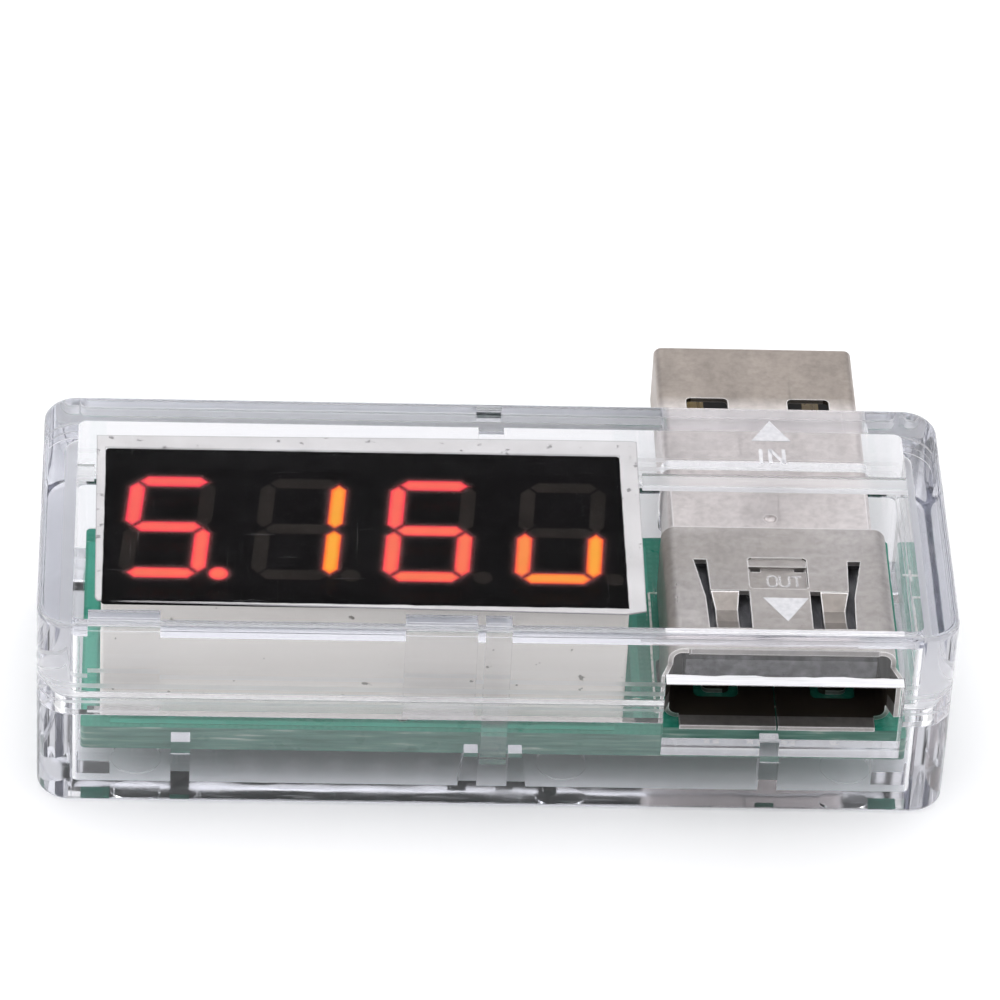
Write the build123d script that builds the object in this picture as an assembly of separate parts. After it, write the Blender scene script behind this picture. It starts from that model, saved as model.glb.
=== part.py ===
from build123d import *
import math
import os

os.makedirs("parts", exist_ok=True)

# A clear cased in-line power meter. The origin is the centre of the case's underside,
# +X runs along the case, +Y out of the back where the plug is, +Z up.

# Case: two clear mouldings that meet at the parting height.
CASE_LENGTH = 52.4
CASE_DEPTH = 21.0
CASE_HEIGHT = 13.2
CORNER_RADIUS = 2.0
EDGE_RADIUS = 0.35
SIDE_WALL = 1.5
END_WALL = 2.0
ROOF = 1.5
FLOOR = 0.9
PARTING = 6.6
PARTING_GAP = 0.04
LIP_HEIGHT = 0.9
LIP_THICKNESS = 0.7
FIT_GAP = 0.05
INNER_RADIUS = 0.5

# Circuit board.
BOARD_LENGTH = 47.6
BOARD_DEPTH = 16.3
BOARD_THICKNESS = 1.6
BOARD_X = 0.1
BOARD_Y = 0.1
BOARD_TOP = 4.15
PIN_HOLE_RADIUS = 0.45

# Four digit display.
DISPLAY_X = -7.55
DISPLAY_Y = -0.1
DISPLAY_LENGTH = 30.1
DISPLAY_DEPTH = 14.0
DISPLAY_TOP = 11.35
DISPLAY_FOOT = 0.4
FACE_THICKNESS = 0.15
DIGIT_PITCH = 7.56
DIGIT_HEIGHT = 9.14
DIGIT_SPAN = 4.1
DIGIT_Y = -0.25
SEGMENT_WIDTH = 0.87
SEGMENT_GAP = 0.1
SLANT = math.tan(math.radians(4.5))
POINT_OFFSET = 2.95
POINT_RADIUS = 0.55
LIT = ["acdfg.", "bc", "acdefg", "cde"]
PIN_PITCH = 2.54
PIN_ROWS = 10.16
PIN_RADIUS = 0.25
PIN_BOTTOM = 1.75

# Connectors share one centre line. Sheet is the thickness of their steel.
CONNECTOR_X = 16.4
SHEET = 0.3

PLUG_WIDTH = 12.0
PLUG_HEIGHT = 4.5
PLUG_TIP = 21.95
PLUG_BACK = 3.1
PLUG_HOLE_EDGE = 17.05
PLUG_CONTACT_X = [-3.5, -1.0, 1.0, 3.5]

SOCKET_WIDTH = 13.1
SOCKET_HEIGHT = 5.7
SOCKET_BACK = 2.4
SOCKET_FRONT = -7.1
LIP_FRONT = -8.15
SIDE_LIP_FLARE = 0.4
TOP_LIP_RISE = 0.95
LOWER_LIP_HALF = 5.65
TOP_LIP_HALF = 5.4
SIDE_LIP_HALF = 1.7
SOCKET_RADIUS = 0.8
TONGUE_FRONT = -6.8
TONGUE_TOP = 8.85
TONGUE_BOTTOM = 7.01
SPRING_ROOT = -3.35
SPRING_TIP = -6.55
SPRING_SLOPE = 1.2
SPRING_FLAT = 1.0
SPRING_DIP = 0.5
SPRING_LIFT = 0.35


def block(x0, x1, y0, y1, z0, z1):
    """A box between opposite corners."""
    centre = ((x0 + x1) / 2, (y0 + y1) / 2, (z0 + z1) / 2)
    return Pos(*centre) * Box(x1 - x0, y1 - y0, z1 - z0)


def plate(length, depth, radius, z0, z1, x=0.0, y=0.0):
    """An upright block with rounded vertical corners."""
    return extrude(Pos(x, y, z0) * RectangleRounded(length, depth, radius), z1 - z0)


def prism(points, z0, z1):
    """An upright prism on a plan outline."""
    return extrude(Pos(0, 0, z0) * make_face(Polyline(*points, close=True)), z1 - z0)


def side_prism(points, x0, x1):
    """A prism along X on an outline of (y, z) points."""
    face = make_face(Polyline(*[(x0, y, z) for y, z in points], close=True))
    return extrude(face, amount=x1 - x0, dir=(1, 0, 0))


def tube(width, height, radius, y0, y1, x, z):
    """A rounded bar that runs along Y."""
    section = Plane(origin=(x, y0, z), x_dir=(1, 0, 0), z_dir=(0, 1, 0))
    return extrude(section * RectangleRounded(width, height, radius), y1 - y0)


def mirrored(shape, x=0.0):
    """The mirror image across the plane X = x."""
    return mirror(shape, Plane(origin=(x, 0, 0), z_dir=(1, 0, 0)))


def save(name, *shapes):
    """Writes one node as loose solids or as one solid."""
    solids = [solid for shape in shapes for solid in shape.solids()]
    part = solids[0] if len(solids) == 1 else Compound(solids)
    part.label = name
    export_step(part, f"parts/{name}.step")


# Case ------------------------------------------------------------------------------

INNER_LENGTH = CASE_LENGTH - 2 * END_WALL
INNER_DEPTH = CASE_DEPTH - 2 * SIDE_WALL
INNER_Y = INNER_DEPTH / 2
CEILING = CASE_HEIGHT - ROOF
BOARD_BOTTOM = BOARD_TOP - BOARD_THICKNESS
BOARD_FRONT = BOARD_Y - BOARD_DEPTH / 2
BOARD_BACK = BOARD_Y + BOARD_DEPTH / 2

MOUTH_HALF = 6.85
MOUTH_SILL = 4.2
MOUTH_HEAD = 9.5
PLUG_GAP = 0.15
PLUG_RADIUS = 0.5
WALL_CUT = 0.5
PLUG_Z = BOARD_TOP + PLUG_HEIGHT / 2
SOCKET_Z = BOARD_TOP + SOCKET_HEIGHT / 2

TAB_WIDTH = 4.1
TAB_BOTTOM = 6.1
TABS = [-21.25, -3.25]
TAB_CLEARANCE = 0.12
TAB_ROOT_DEPTH = 0.2
SNAP_WIDTH = 1.5
SNAP_BOTTOM = 2.5
GUIDE_WIDTH = 0.8
GUIDE_SPREAD = 0.3
GUIDE_TOP = 3.4
GUIDE_DEPTH = 0.85
RIB_WIDTH = 1.1
RIBS = [-17.95, 15.95]
BACK_RIBS = [-17.95, 4.0]
RIB_TOP = 3.9
CROSS_RIB_Y = 4.4
CROSS_RIB_WIDTH = 1.1
CROSS_RIB_START = 8.7
CROSS_RIB_STUB = 1.1
CROSS_RIB_HEIGHT = 0.4
EJECTOR_RADIUS = 1.45
EJECTOR_DEPTH = 0.08
EJECTOR_Y = -6.9
EJECTOR_XS = [-20.5, 4.1, 20.6]
POST_INSET = 1.0
POST_REACH = 1.2
SEAT_DEPTH = 1.6
SEAT_GAP = 0.02
REBATE_RADIUS = 1.0
OVERLAP = 0.1
SOLDER_GAP = 0.01


def connector_ways():
    """The two openings in the long walls, for the socket's mouth and for the plug."""
    mouth = block(CONNECTOR_X - MOUTH_HALF, CONNECTOR_X + MOUTH_HALF,
                  -CASE_DEPTH, -INNER_Y + WALL_CUT, MOUTH_SILL, MOUTH_HEAD)
    way = tube(PLUG_WIDTH + 2 * PLUG_GAP, PLUG_HEIGHT + 2 * PLUG_GAP, PLUG_RADIUS,
               INNER_Y - WALL_CUT, CASE_DEPTH, CONNECTOR_X, PLUG_Z)
    return mouth, way


def make_top_shell():
    base = PARTING + PARTING_GAP / 2
    outer = plate(CASE_LENGTH, CASE_DEPTH, CORNER_RADIUS, base, CASE_HEIGHT)
    outer = fillet(outer.faces().sort_by(Axis.Z)[-1].edges(), EDGE_RADIUS)
    cavity = plate(INNER_LENGTH, INNER_DEPTH, INNER_RADIUS, base, CEILING)
    rebate_growth = 2 * (LIP_THICKNESS + FIT_GAP)
    rebate = plate(INNER_LENGTH + rebate_growth, INNER_DEPTH + rebate_growth,
                   REBATE_RADIUS,
                   base, base + LIP_HEIGHT + FIT_GAP)
    shell = outer - cavity - rebate
    shell += hanging_tabs()
    shell += cross_ribs()
    for way in connector_ways():
        shell -= way
    return shell


def hanging_tabs():
    """Tabs that run from the roof down inside the bottom shell's lip, and two snap arms."""
    root = PARTING + LIP_HEIGHT + 2 * FIT_GAP
    top = CEILING + OVERLAP
    outer = -INNER_Y + FIT_GAP
    inner = BOARD_FRONT - TAB_CLEARANCE
    tabs = []
    for x in TABS:
        left = x - TAB_WIDTH / 2
        right = x + TAB_WIDTH / 2
        tabs.append(block(left, right, outer, inner, TAB_BOTTOM, top))
        tabs.append(block(left, right, -INNER_Y - TAB_ROOT_DEPTH, inner, root, top))
    half = SNAP_WIDTH / 2
    arm = block(-half, half, outer, inner, SNAP_BOTTOM, top)
    arm += block(-half, half, -INNER_Y - TAB_ROOT_DEPTH, inner, root, top)
    back_arm = mirror(arm, Plane.XZ)
    back_arm -= block(-half, half, 0, BOARD_BACK + TAB_CLEARANCE, SNAP_BOTTOM, top)
    return tabs + [arm, back_arm]


def cross_ribs():
    """A low stiffening rib under the roof above the plug, and its short end piece."""
    low = CEILING - CROSS_RIB_HEIGHT
    high = CEILING + OVERLAP
    front = CROSS_RIB_Y - CROSS_RIB_WIDTH / 2
    back = CROSS_RIB_Y + CROSS_RIB_WIDTH / 2
    end = INNER_LENGTH / 2 + OVERLAP
    rib = block(CROSS_RIB_START, end, front, back, low, high)
    stub = block(-end, -end + CROSS_RIB_STUB, front, back, low, high)
    return [rib, stub]


def make_bottom_shell():
    rim = PARTING - PARTING_GAP / 2
    outer = plate(CASE_LENGTH, CASE_DEPTH, CORNER_RADIUS, 0, rim)
    outer = fillet(outer.faces().sort_by(Axis.Z)[0].edges(), EDGE_RADIUS)
    lip = plate(INNER_LENGTH + 2 * LIP_THICKNESS, INNER_DEPTH + 2 * LIP_THICKNESS,
                REBATE_RADIUS, rim, PARTING + LIP_HEIGHT)
    cavity = plate(INNER_LENGTH, INNER_DEPTH, INNER_RADIUS, FLOOR, CASE_HEIGHT)
    shell = outer + lip - cavity
    shell += board_supports()
    for way in connector_ways():
        shell -= way
    for x in EJECTOR_XS:
        mark = Cylinder(EJECTOR_RADIUS, EJECTOR_DEPTH)
        shell -= Pos(x, EJECTOR_Y, FLOOR - EJECTOR_DEPTH / 2) * mark
    return shell


def board_supports():
    """Corner posts, locating ribs on both long walls, and the snap arms' guides."""
    seat = BOARD_BOTTOM - SEAT_GAP
    foot = FLOOR - OVERLAP
    supports = []
    post_x = INNER_LENGTH / 2 - POST_INSET
    post_y = INNER_Y - SEAT_DEPTH
    for x in [-post_x, post_x]:
        for y in [-post_y, post_y]:
            supports.append(block(x - POST_REACH, x + POST_REACH, y - POST_INSET,
                                  y + POST_INSET, foot, seat))
    half = RIB_WIDTH / 2
    for x in RIBS:
        front = -INNER_Y - OVERLAP
        supports.append(block(x - half, x + half, front, BOARD_FRONT - OVERLAP,
                              foot, RIB_TOP))
        supports.append(block(x - half, x + half, front, -INNER_Y + SEAT_DEPTH,
                              foot, seat))
    for x in BACK_RIBS:
        back = INNER_Y + OVERLAP
        supports.append(block(x - half, x + half, INNER_Y - SEAT_DEPTH, back, foot, seat))
    for sign in [-1, 1]:
        near = sign * (SNAP_WIDTH / 2 + TAB_CLEARANCE)
        far = near + sign * GUIDE_WIDTH
        points = [(near, foot), (far + sign * GUIDE_SPREAD, foot), (far, GUIDE_TOP),
                  (near, GUIDE_TOP)]
        plane = Plane(origin=(0, -INNER_Y - OVERLAP, 0), x_dir=(1, 0, 0), z_dir=(0, -1, 0))
        guide = extrude(plane * make_face(Polyline(*points, close=True)), -GUIDE_DEPTH)
        behind_board = block(-CASE_LENGTH, CASE_LENGTH, BOARD_BACK + OVERLAP, CASE_DEPTH,
                             0, CASE_HEIGHT)
        supports.append(guide)
        supports.append(mirror(guide, Plane.XZ) & behind_board)
    return supports


# Display ---------------------------------------------------------------------------

FACE_BOTTOM = DISPLAY_TOP - FACE_THICKNESS
FILM_GAP = 0.03
FILM_THICKNESS = 0.08
MOULD_RADIUS = 0.25
SEGMENT_RECESS = 0.03
FOOT_INSET = 0.9
FOOT_HALF = 0.7
PIN_XS = [DISPLAY_X + (i - 2.5) * PIN_PITCH for i in range(6)]
PIN_YS = [DISPLAY_Y - PIN_ROWS / 2, DISPLAY_Y + PIN_ROWS / 2]


def digit_centres():
    return [DISPLAY_X + (i - 1.5) * DIGIT_PITCH for i in range(4)]


def leaned(points, x):
    """Slants plan points about the digit's middle and moves them to its place."""
    return [(x + px + py * SLANT, DIGIT_Y + py) for px, py in points]


def segment_outlines():
    """The seven bars of one digit, as hexagons about the digit's own centre."""
    half = DIGIT_SPAN / 2
    rise = (DIGIT_HEIGHT - SEGMENT_WIDTH) / 2
    w = SEGMENT_WIDTH / 2
    g = SEGMENT_GAP

    def across(y):
        inner = half - w - g
        return [(-half + g, y), (-inner, y + w), (inner, y + w),
                (half - g, y), (inner, y - w), (-inner, y - w)]

    def upright(x, y0, y1):
        return [(x, y0 + g), (x + w, y0 + w + g), (x + w, y1 - w - g),
                (x, y1 - g), (x - w, y1 - w - g), (x - w, y0 + w + g)]

    return {
        "a": across(rise), "g": across(0), "d": across(-rise),
        "f": upright(-half, 0, rise), "b": upright(half, 0, rise),
        "e": upright(-half, -rise, 0), "c": upright(half, -rise, 0),
    }


def make_segments():
    """Every bar and point of the display, sorted into lit and dark ones."""
    lit = []
    dark = []
    low = FACE_BOTTOM + SEGMENT_RECESS
    for x, names in zip(digit_centres(), LIT):
        for name, outline in segment_outlines().items():
            bar = prism(leaned(outline, x), low, DISPLAY_TOP)
            (lit if name in names else dark).append(bar)
        point_y = DIGIT_Y - (DIGIT_HEIGHT - SEGMENT_WIDTH) / 2
        point = Pos(x + POINT_OFFSET, point_y, (low + DISPLAY_TOP) / 2)
        point = point * Cylinder(POINT_RADIUS, DISPLAY_TOP - low)
        (lit if "." in names else dark).append(point)
    return lit, dark


def make_display_body():
    low = BOARD_TOP + DISPLAY_FOOT
    body = plate(DISPLAY_LENGTH, DISPLAY_DEPTH, MOULD_RADIUS, low, FACE_BOTTOM,
                 DISPLAY_X, DISPLAY_Y)
    for sx in [-1, 1]:
        for sy in [-1, 1]:
            x = DISPLAY_X + sx * (DISPLAY_LENGTH / 2 - FOOT_INSET)
            y = DISPLAY_Y + sy * (DISPLAY_DEPTH / 2 - FOOT_INSET)
            body += block(x - FOOT_HALF, x + FOOT_HALF, y - FOOT_HALF, y + FOOT_HALF,
                          BOARD_TOP + SOLDER_GAP, low)
    return body


def make_display_pins():
    pins = []
    for x in PIN_XS:
        for y in PIN_YS:
            length = BOARD_TOP + DISPLAY_FOOT - PIN_BOTTOM
            pins.append(Pos(x, y, PIN_BOTTOM + length / 2) * Cylinder(PIN_RADIUS, length))
    return pins


def make_protective_film():
    """A thin clear film, cut by hand a little larger than the display's face."""
    low = DISPLAY_TOP + FILM_GAP
    left = DISPLAY_X - DISPLAY_LENGTH / 2
    right = DISPLAY_X + DISPLAY_LENGTH / 2
    front = DISPLAY_Y - DISPLAY_DEPTH / 2
    back = DISPLAY_Y + DISPLAY_DEPTH / 2
    outline = [(left - 0.35, front + 0.35), (left - 0.2, front + 0.05),
               (left + 15, front - 0.22), (right - 0.2, front - 0.46),
               (right + 0.96, front - 0.16), (right + 1.04, back + 1.3),
               (right + 0.66, back + 1.35), (left + 23, back + 1.33),
               (left + 11.4, back + 1.2), (left - 0.52, back + 1.07)]
    return prism(outline, low, low + FILM_THICKNESS)


# Plug ------------------------------------------------------------------------------

PLUG_TOP = BOARD_TOP + PLUG_HEIGHT
PLUG_BLOCK_FRONT = 8.2
PLUG_PAD_EDGE = 7.45
PLUG_TONGUE_TOP = BOARD_TOP + SHEET + 1.95
LEG_BOTTOM = 1.7
LEG_HALF = 0.3
LEG_REACH = 0.15
PLUG_LEG_Y = 2.8
PLUG_LEG_FRONT = 4.2
LEG_WIDTH = 2.0
SOCKET_LEG_FRONT = -3.6
STRIP_THICKNESS = 0.2
SEAM_HALF = 0.05
PLUG_WINDOW_X = 3.05
PLUG_WINDOW_WIDTH = 2.5
PLUG_WINDOW_DEPTH = 2.1
PAD_HEIGHT = 0.08
DIMPLE_RADIUS = 0.42
DIMPLE_Y = 4.6
SOCKET_LEG_Y = 1.35


def make_plug_shell():
    shell = tube(PLUG_WIDTH, PLUG_HEIGHT, PLUG_RADIUS, PLUG_BACK, PLUG_TIP,
                 CONNECTOR_X, PLUG_Z)
    bore = tube(PLUG_WIDTH - 2 * SHEET, PLUG_HEIGHT - 2 * SHEET, PLUG_RADIUS / 2,
                PLUG_BACK - 1, PLUG_TIP + 1, CONNECTOR_X, PLUG_Z)
    shell -= bore
    window_y = PLUG_HOLE_EDGE - PLUG_WINDOW_DEPTH / 2
    for x in [CONNECTOR_X - PLUG_WINDOW_X, CONNECTOR_X + PLUG_WINDOW_X]:
        shell -= plate(PLUG_WINDOW_WIDTH, PLUG_WINDOW_DEPTH, SHEET, BOARD_TOP - 1,
                       PLUG_TOP + 1, x, window_y)
    shell -= block(CONNECTOR_X - SEAM_HALF, CONNECTOR_X + SEAM_HALF, PLUG_BACK - 1,
                   PLUG_TIP + 1, BOARD_TOP - OVERLAP, BOARD_TOP + SHEET + OVERLAP)
    pad = plate(PLUG_WIDTH - 2 * PLUG_RADIUS + 0.5, PLUG_PAD_EDGE - PLUG_BACK, PLUG_RADIUS,
                PLUG_TOP - OVERLAP, PLUG_TOP + PAD_HEIGHT, CONNECTOR_X,
                (PLUG_PAD_EDGE + PLUG_BACK) / 2)
    shell += pad
    shell -= Pos(CONNECTOR_X, DIMPLE_Y, PLUG_TOP + DIMPLE_RADIUS / 2) * Sphere(DIMPLE_RADIUS)
    for sign in [-1, 1]:
        x = CONNECTOR_X + sign * (PLUG_WIDTH / 2 - SHEET / 2)
        shell += block(x - SHEET / 2, x + SHEET / 2, PLUG_LEG_FRONT,
                       PLUG_LEG_FRONT + LEG_WIDTH, LEG_BOTTOM, PLUG_Z)
    return shell


def plug_contacts():
    """Four strips that run from the tongue's face to the board, each in one piece."""
    strips = []
    for offset in PLUG_CONTACT_X:
        x = CONNECTOR_X + offset
        inner = abs(offset) < 2
        tip = 20.3 - (1.0 if inner else 0.0)
        strip = block(x - 0.5, x + 0.5, PLUG_LEG_Y - LEG_REACH, tip,
                      PLUG_TONGUE_TOP - STRIP_THICKNESS, PLUG_TONGUE_TOP)
        strip += block(x - LEG_HALF, x + LEG_HALF, PLUG_LEG_Y - LEG_REACH,
                       PLUG_LEG_Y + LEG_REACH, LEG_BOTTOM, PLUG_TONGUE_TOP)
        strips.append(strip)
    return strips


def make_plug_insulator(contacts):
    """The plastic tongue along the floor of the plug, and the block that closes its back."""
    width = PLUG_WIDTH - 2 * SHEET - 0.06
    height = PLUG_HEIGHT - 2 * SHEET - 0.06
    filled = tube(width, height, 0.25, PLUG_BACK + 0.1, PLUG_TIP - 0.5, CONNECTOR_X, PLUG_Z)
    tongue = filled - block(0, CASE_LENGTH, PLUG_BLOCK_FRONT, CASE_LENGTH,
                            PLUG_TONGUE_TOP, CASE_HEIGHT)
    for strip in contacts:
        tongue -= strip
    return tongue


# Socket ----------------------------------------------------------------------------

SOCKET_TOP = BOARD_TOP + SOCKET_HEIGHT
SOCKET_FLOOR = BOARD_TOP + SHEET
RECESS_LENGTH = 3.4
RECESS_DEPTH = 2.75
RECESS_RADIUS = 0.5
RECESS_Y = -1.75
BAR_DEPTH = 0.7
SLIT_INSET = 0.12
SLIT_LENGTH = 0.6
SLIT_WIDTH = 0.22
CATCH_X = 3.4
CATCH_RADIUS = 0.4
LEGS_WAY_HALF = 4.2
LEGS_WAY_REACH = 0.4
# Plan outline of the cut around a top spring, measured out from the centre line.
SPRING_CUT = [(4.85, -0.6), (4.1, -0.6), (4.0, SPRING_ROOT), (1.75, SPRING_ROOT),
              (1.75, -6.7), (4.2, -6.7), (4.3, -3.9)]
SPRING_PLAN = [(2.35, SPRING_ROOT - 0.04), (3.97, SPRING_ROOT - 0.04), (3.75, -4.5),
               (3.75, SPRING_TIP), (2.45, SPRING_TIP), (2.45, -4.5)]


def make_socket_shell():
    shell = tube(SOCKET_WIDTH, SOCKET_HEIGHT, SOCKET_RADIUS, SOCKET_FRONT, SOCKET_BACK,
                 CONNECTOR_X, SOCKET_Z)
    shell -= tube(SOCKET_WIDTH - 2 * SHEET, SOCKET_HEIGHT - 2 * SHEET,
                  SOCKET_RADIUS - SHEET, SOCKET_FRONT - 1, SOCKET_BACK - SHEET,
                  CONNECTOR_X, SOCKET_Z)
    shell += mouth_lips()
    shell += plate(RECESS_LENGTH + SHEET, RECESS_DEPTH + SHEET, RECESS_RADIUS,
                   SOCKET_TOP - 2 * SHEET, SOCKET_TOP - SHEET, CONNECTOR_X, RECESS_Y)
    shell -= stamped_recess()
    for sign in [-1, 1]:
        cut = [(CONNECTOR_X + sign * u, y) for u, y in SPRING_CUT]
        shell -= prism(cut, SOCKET_TOP - SHEET - 0.2, SOCKET_TOP + 0.2)
        shell -= floor_cut(sign)
        x = CONNECTOR_X + sign * (SOCKET_WIDTH / 2 - SHEET / 2)
        shell += block(x - SHEET / 2, x + SHEET / 2, SOCKET_LEG_FRONT,
                       SOCKET_LEG_FRONT + LEG_WIDTH, LEG_BOTTOM, SOCKET_Z)
    low = BOARD_TOP - OVERLAP
    high = SOCKET_FLOOR + OVERLAP
    seam = block(CONNECTOR_X - SEAM_HALF, CONNECTOR_X + SEAM_HALF, LIP_FRONT - 1,
                 SOCKET_BACK - 1, low, high)
    legs_way = block(CONNECTOR_X - LEGS_WAY_HALF, CONNECTOR_X + LEGS_WAY_HALF,
                     SOCKET_LEG_Y - LEGS_WAY_REACH, SOCKET_LEG_Y + LEGS_WAY_REACH, low, high)
    return shell - seam - legs_way


def stamped_recess():
    """The pocket pressed into the roof, with a raised bar and two slits beside its ends."""
    left = CONNECTOR_X - RECESS_LENGTH / 2
    right = CONNECTOR_X + RECESS_LENGTH / 2
    back = RECESS_Y + RECESS_DEPTH / 2
    pocket = plate(RECESS_LENGTH, RECESS_DEPTH, RECESS_RADIUS / 2, SOCKET_TOP - SHEET,
                   SOCKET_TOP + OVERLAP, CONNECTOR_X, RECESS_Y)
    bar = block(left, right, back - BAR_DEPTH, back, SOCKET_TOP - SHEET - OVERLAP,
                SOCKET_TOP - SHEET / 3)
    cut = pocket - bar
    slit_back = back - BAR_DEPTH
    for x in [left + SLIT_INSET, right - SLIT_INSET - SLIT_LENGTH]:
        cut += block(x, x + SLIT_LENGTH, slit_back - SLIT_WIDTH, slit_back,
                     SOCKET_TOP - 3 * SHEET, SOCKET_TOP)
    return cut


def floor_cut(sign):
    """The gap round one of the two catches stamped in the socket's floor."""
    x = CONNECTOR_X + sign * CATCH_X
    low = BOARD_TOP - OVERLAP
    high = SOCKET_FLOOR + OVERLAP
    gap = plate(2.6, 3.4, CATCH_RADIUS, low, high, x, -3.9)
    catch = plate(1.6, 3.2, CATCH_RADIUS, low, high, x, -3.3)
    return gap - catch


def mouth_lips():
    """Four flared lips round the mouth. The lower one lies flat on the board."""
    front = LIP_FRONT
    back = SOCKET_FRONT + OVERLAP
    floor_lip = block(CONNECTOR_X - LOWER_LIP_HALF, CONNECTOR_X + LOWER_LIP_HALF, front,
                      back, BOARD_TOP, SOCKET_FLOOR)
    top = SOCKET_TOP
    bend = SOCKET_FRONT - SHEET / 3
    outline = [(back, top), (back, top - SHEET), (SOCKET_FRONT - SHEET / 2, top - SHEET),
               (front - SHEET / 2, top + TOP_LIP_RISE - SHEET), (front, top + TOP_LIP_RISE),
               (bend + OVERLAP, top)]
    top_lip = side_prism(outline, CONNECTOR_X - TOP_LIP_HALF, CONNECTOR_X + TOP_LIP_HALF)
    lips = [floor_lip, top_lip]
    side = CONNECTOR_X + SOCKET_WIDTH / 2
    plan = [(side, back), (side - SHEET, back), (side - SHEET, SOCKET_FRONT),
            (side - SHEET + SIDE_LIP_FLARE, front), (side + SIDE_LIP_FLARE, front),
            (side, SOCKET_FRONT)]
    side_lip = prism(plan, SOCKET_Z - SIDE_LIP_HALF, SOCKET_Z + SIDE_LIP_HALF)
    return lips + [side_lip, mirrored(side_lip, CONNECTOR_X)]


def make_socket_spring(sign):
    """A spring leaf that dips into the socket and presses on the plug."""
    plan = [(CONNECTOR_X + sign * u, y) for u, y in SPRING_PLAN]
    root = SPRING_ROOT
    top = SOCKET_TOP
    low = top - SHEET - SPRING_DIP
    bend = root - SPRING_SLOPE
    flat = bend - SPRING_FLAT
    tip = SPRING_TIP - OVERLAP
    outline = [(root, top), (root, top - SHEET), (bend, low), (flat, low),
               (tip, low + SPRING_LIFT), (tip, low + SPRING_LIFT + SHEET),
               (flat, low + SHEET), (bend, low + SHEET)]
    leaf = side_prism(outline, CONNECTOR_X - SOCKET_WIDTH / 2, CONNECTOR_X + SOCKET_WIDTH / 2)
    return leaf & prism(plan, BOARD_TOP, CASE_HEIGHT)


def socket_contacts():
    """Four springy strips under the tongue, turned down to the board at the back."""
    strips = []
    for offset in PLUG_CONTACT_X:
        x = CONNECTOR_X + offset
        strip = block(x - 0.45, x + 0.45, TONGUE_FRONT + 0.6, 1.5,
                      TONGUE_BOTTOM - STRIP_THICKNESS, TONGUE_BOTTOM)
        strip += block(x - LEG_HALF, x + LEG_HALF, SOCKET_LEG_Y - LEG_REACH,
                       SOCKET_LEG_Y + LEG_REACH, LEG_BOTTOM, TONGUE_BOTTOM)
        strips.append(strip)
    return strips


def make_socket_tongue(contacts):
    """The plastic tongue and the block at the back of the socket that carries it."""
    half = SOCKET_WIDTH / 2 - SHEET - FIT_GAP
    tongue = block(CONNECTOR_X - 5.5, CONNECTOR_X + 5.5, TONGUE_FRONT, 0,
                   TONGUE_BOTTOM, TONGUE_TOP)
    body = tube(2 * half, SOCKET_HEIGHT - 2 * SHEET - 2 * FIT_GAP, SOCKET_RADIUS - SHEET,
                -OVERLAP, SOCKET_BACK - SHEET - FIT_GAP, CONNECTOR_X, SOCKET_Z)
    shoulder = block(CONNECTOR_X - 1.8, CONNECTOR_X + 1.8, -3.2, 0,
                     TONGUE_TOP - OVERLAP, SOCKET_TOP - 2 * SHEET - FIT_GAP)
    tongue = tongue + body + shoulder
    for strip in contacts:
        tongue -= strip
    return tongue


# Board and its small parts ---------------------------------------------------------

CHIP_X = -9.0
CHIP_TOP = BOARD_BOTTOM - 0.12
CHIP_BOTTOM = CHIP_TOP - 0.95
LEAD_PITCH = 0.65
REGULATOR_X = 4.6
REGULATOR_Y = 1.2
SHUNT_X = 10.6
SHUNT_Y = 4.5


def connector_leg_slots():
    slots = []
    for sign in [-1, 1]:
        plug_x = CONNECTOR_X + sign * (PLUG_WIDTH / 2 - SHEET / 2)
        socket_x = CONNECTOR_X + sign * (SOCKET_WIDTH / 2 - SHEET / 2)
        slots.append(plate(0.7, 2.5, 0.3, 0, BOARD_TOP + 1, plug_x, 5.2))
        slots.append(plate(0.7, 2.5, 0.3, 0, BOARD_TOP + 1, socket_x, -2.6))
    return slots


def contact_leg_places():
    xs = [CONNECTOR_X + offset for offset in PLUG_CONTACT_X]
    return [(x, y) for y in [PLUG_LEG_Y, SOCKET_LEG_Y] for x in xs]


def make_board():
    board = plate(BOARD_LENGTH, BOARD_DEPTH, 0.3, BOARD_BOTTOM, BOARD_TOP, BOARD_X, BOARD_Y)
    holes = []
    for x in PIN_XS:
        for y in PIN_YS:
            holes.append(Pos(x, y, BOARD_TOP) * Cylinder(PIN_HOLE_RADIUS, 5))
    for x, y in contact_leg_places():
        holes.append(Pos(x, y, BOARD_TOP) * Cylinder(PIN_HOLE_RADIUS, 5))
    return board - holes - connector_leg_slots()


def solder_cone(x, y, hole):
    """A solder fillet under the board round one leg."""
    height = 0.6
    cone = Pos(x, y, BOARD_BOTTOM - height / 2) * Rot(180, 0, 0) * Cone(0.68, 0.38, height)
    return cone - hole


def make_display_solder(pins):
    places = [(x, y) for x in PIN_XS for y in PIN_YS]
    return [solder_cone(x, y, pin) for (x, y), pin in zip(places, pins)]


def make_connector_solder():
    joints = []
    for x, y in contact_leg_places():
        leg = block(x - LEG_HALF, x + LEG_HALF, y - LEG_REACH, y + LEG_REACH, 0, BOARD_TOP)
        joints.append(solder_cone(x, y, leg))
    return joints


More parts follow.
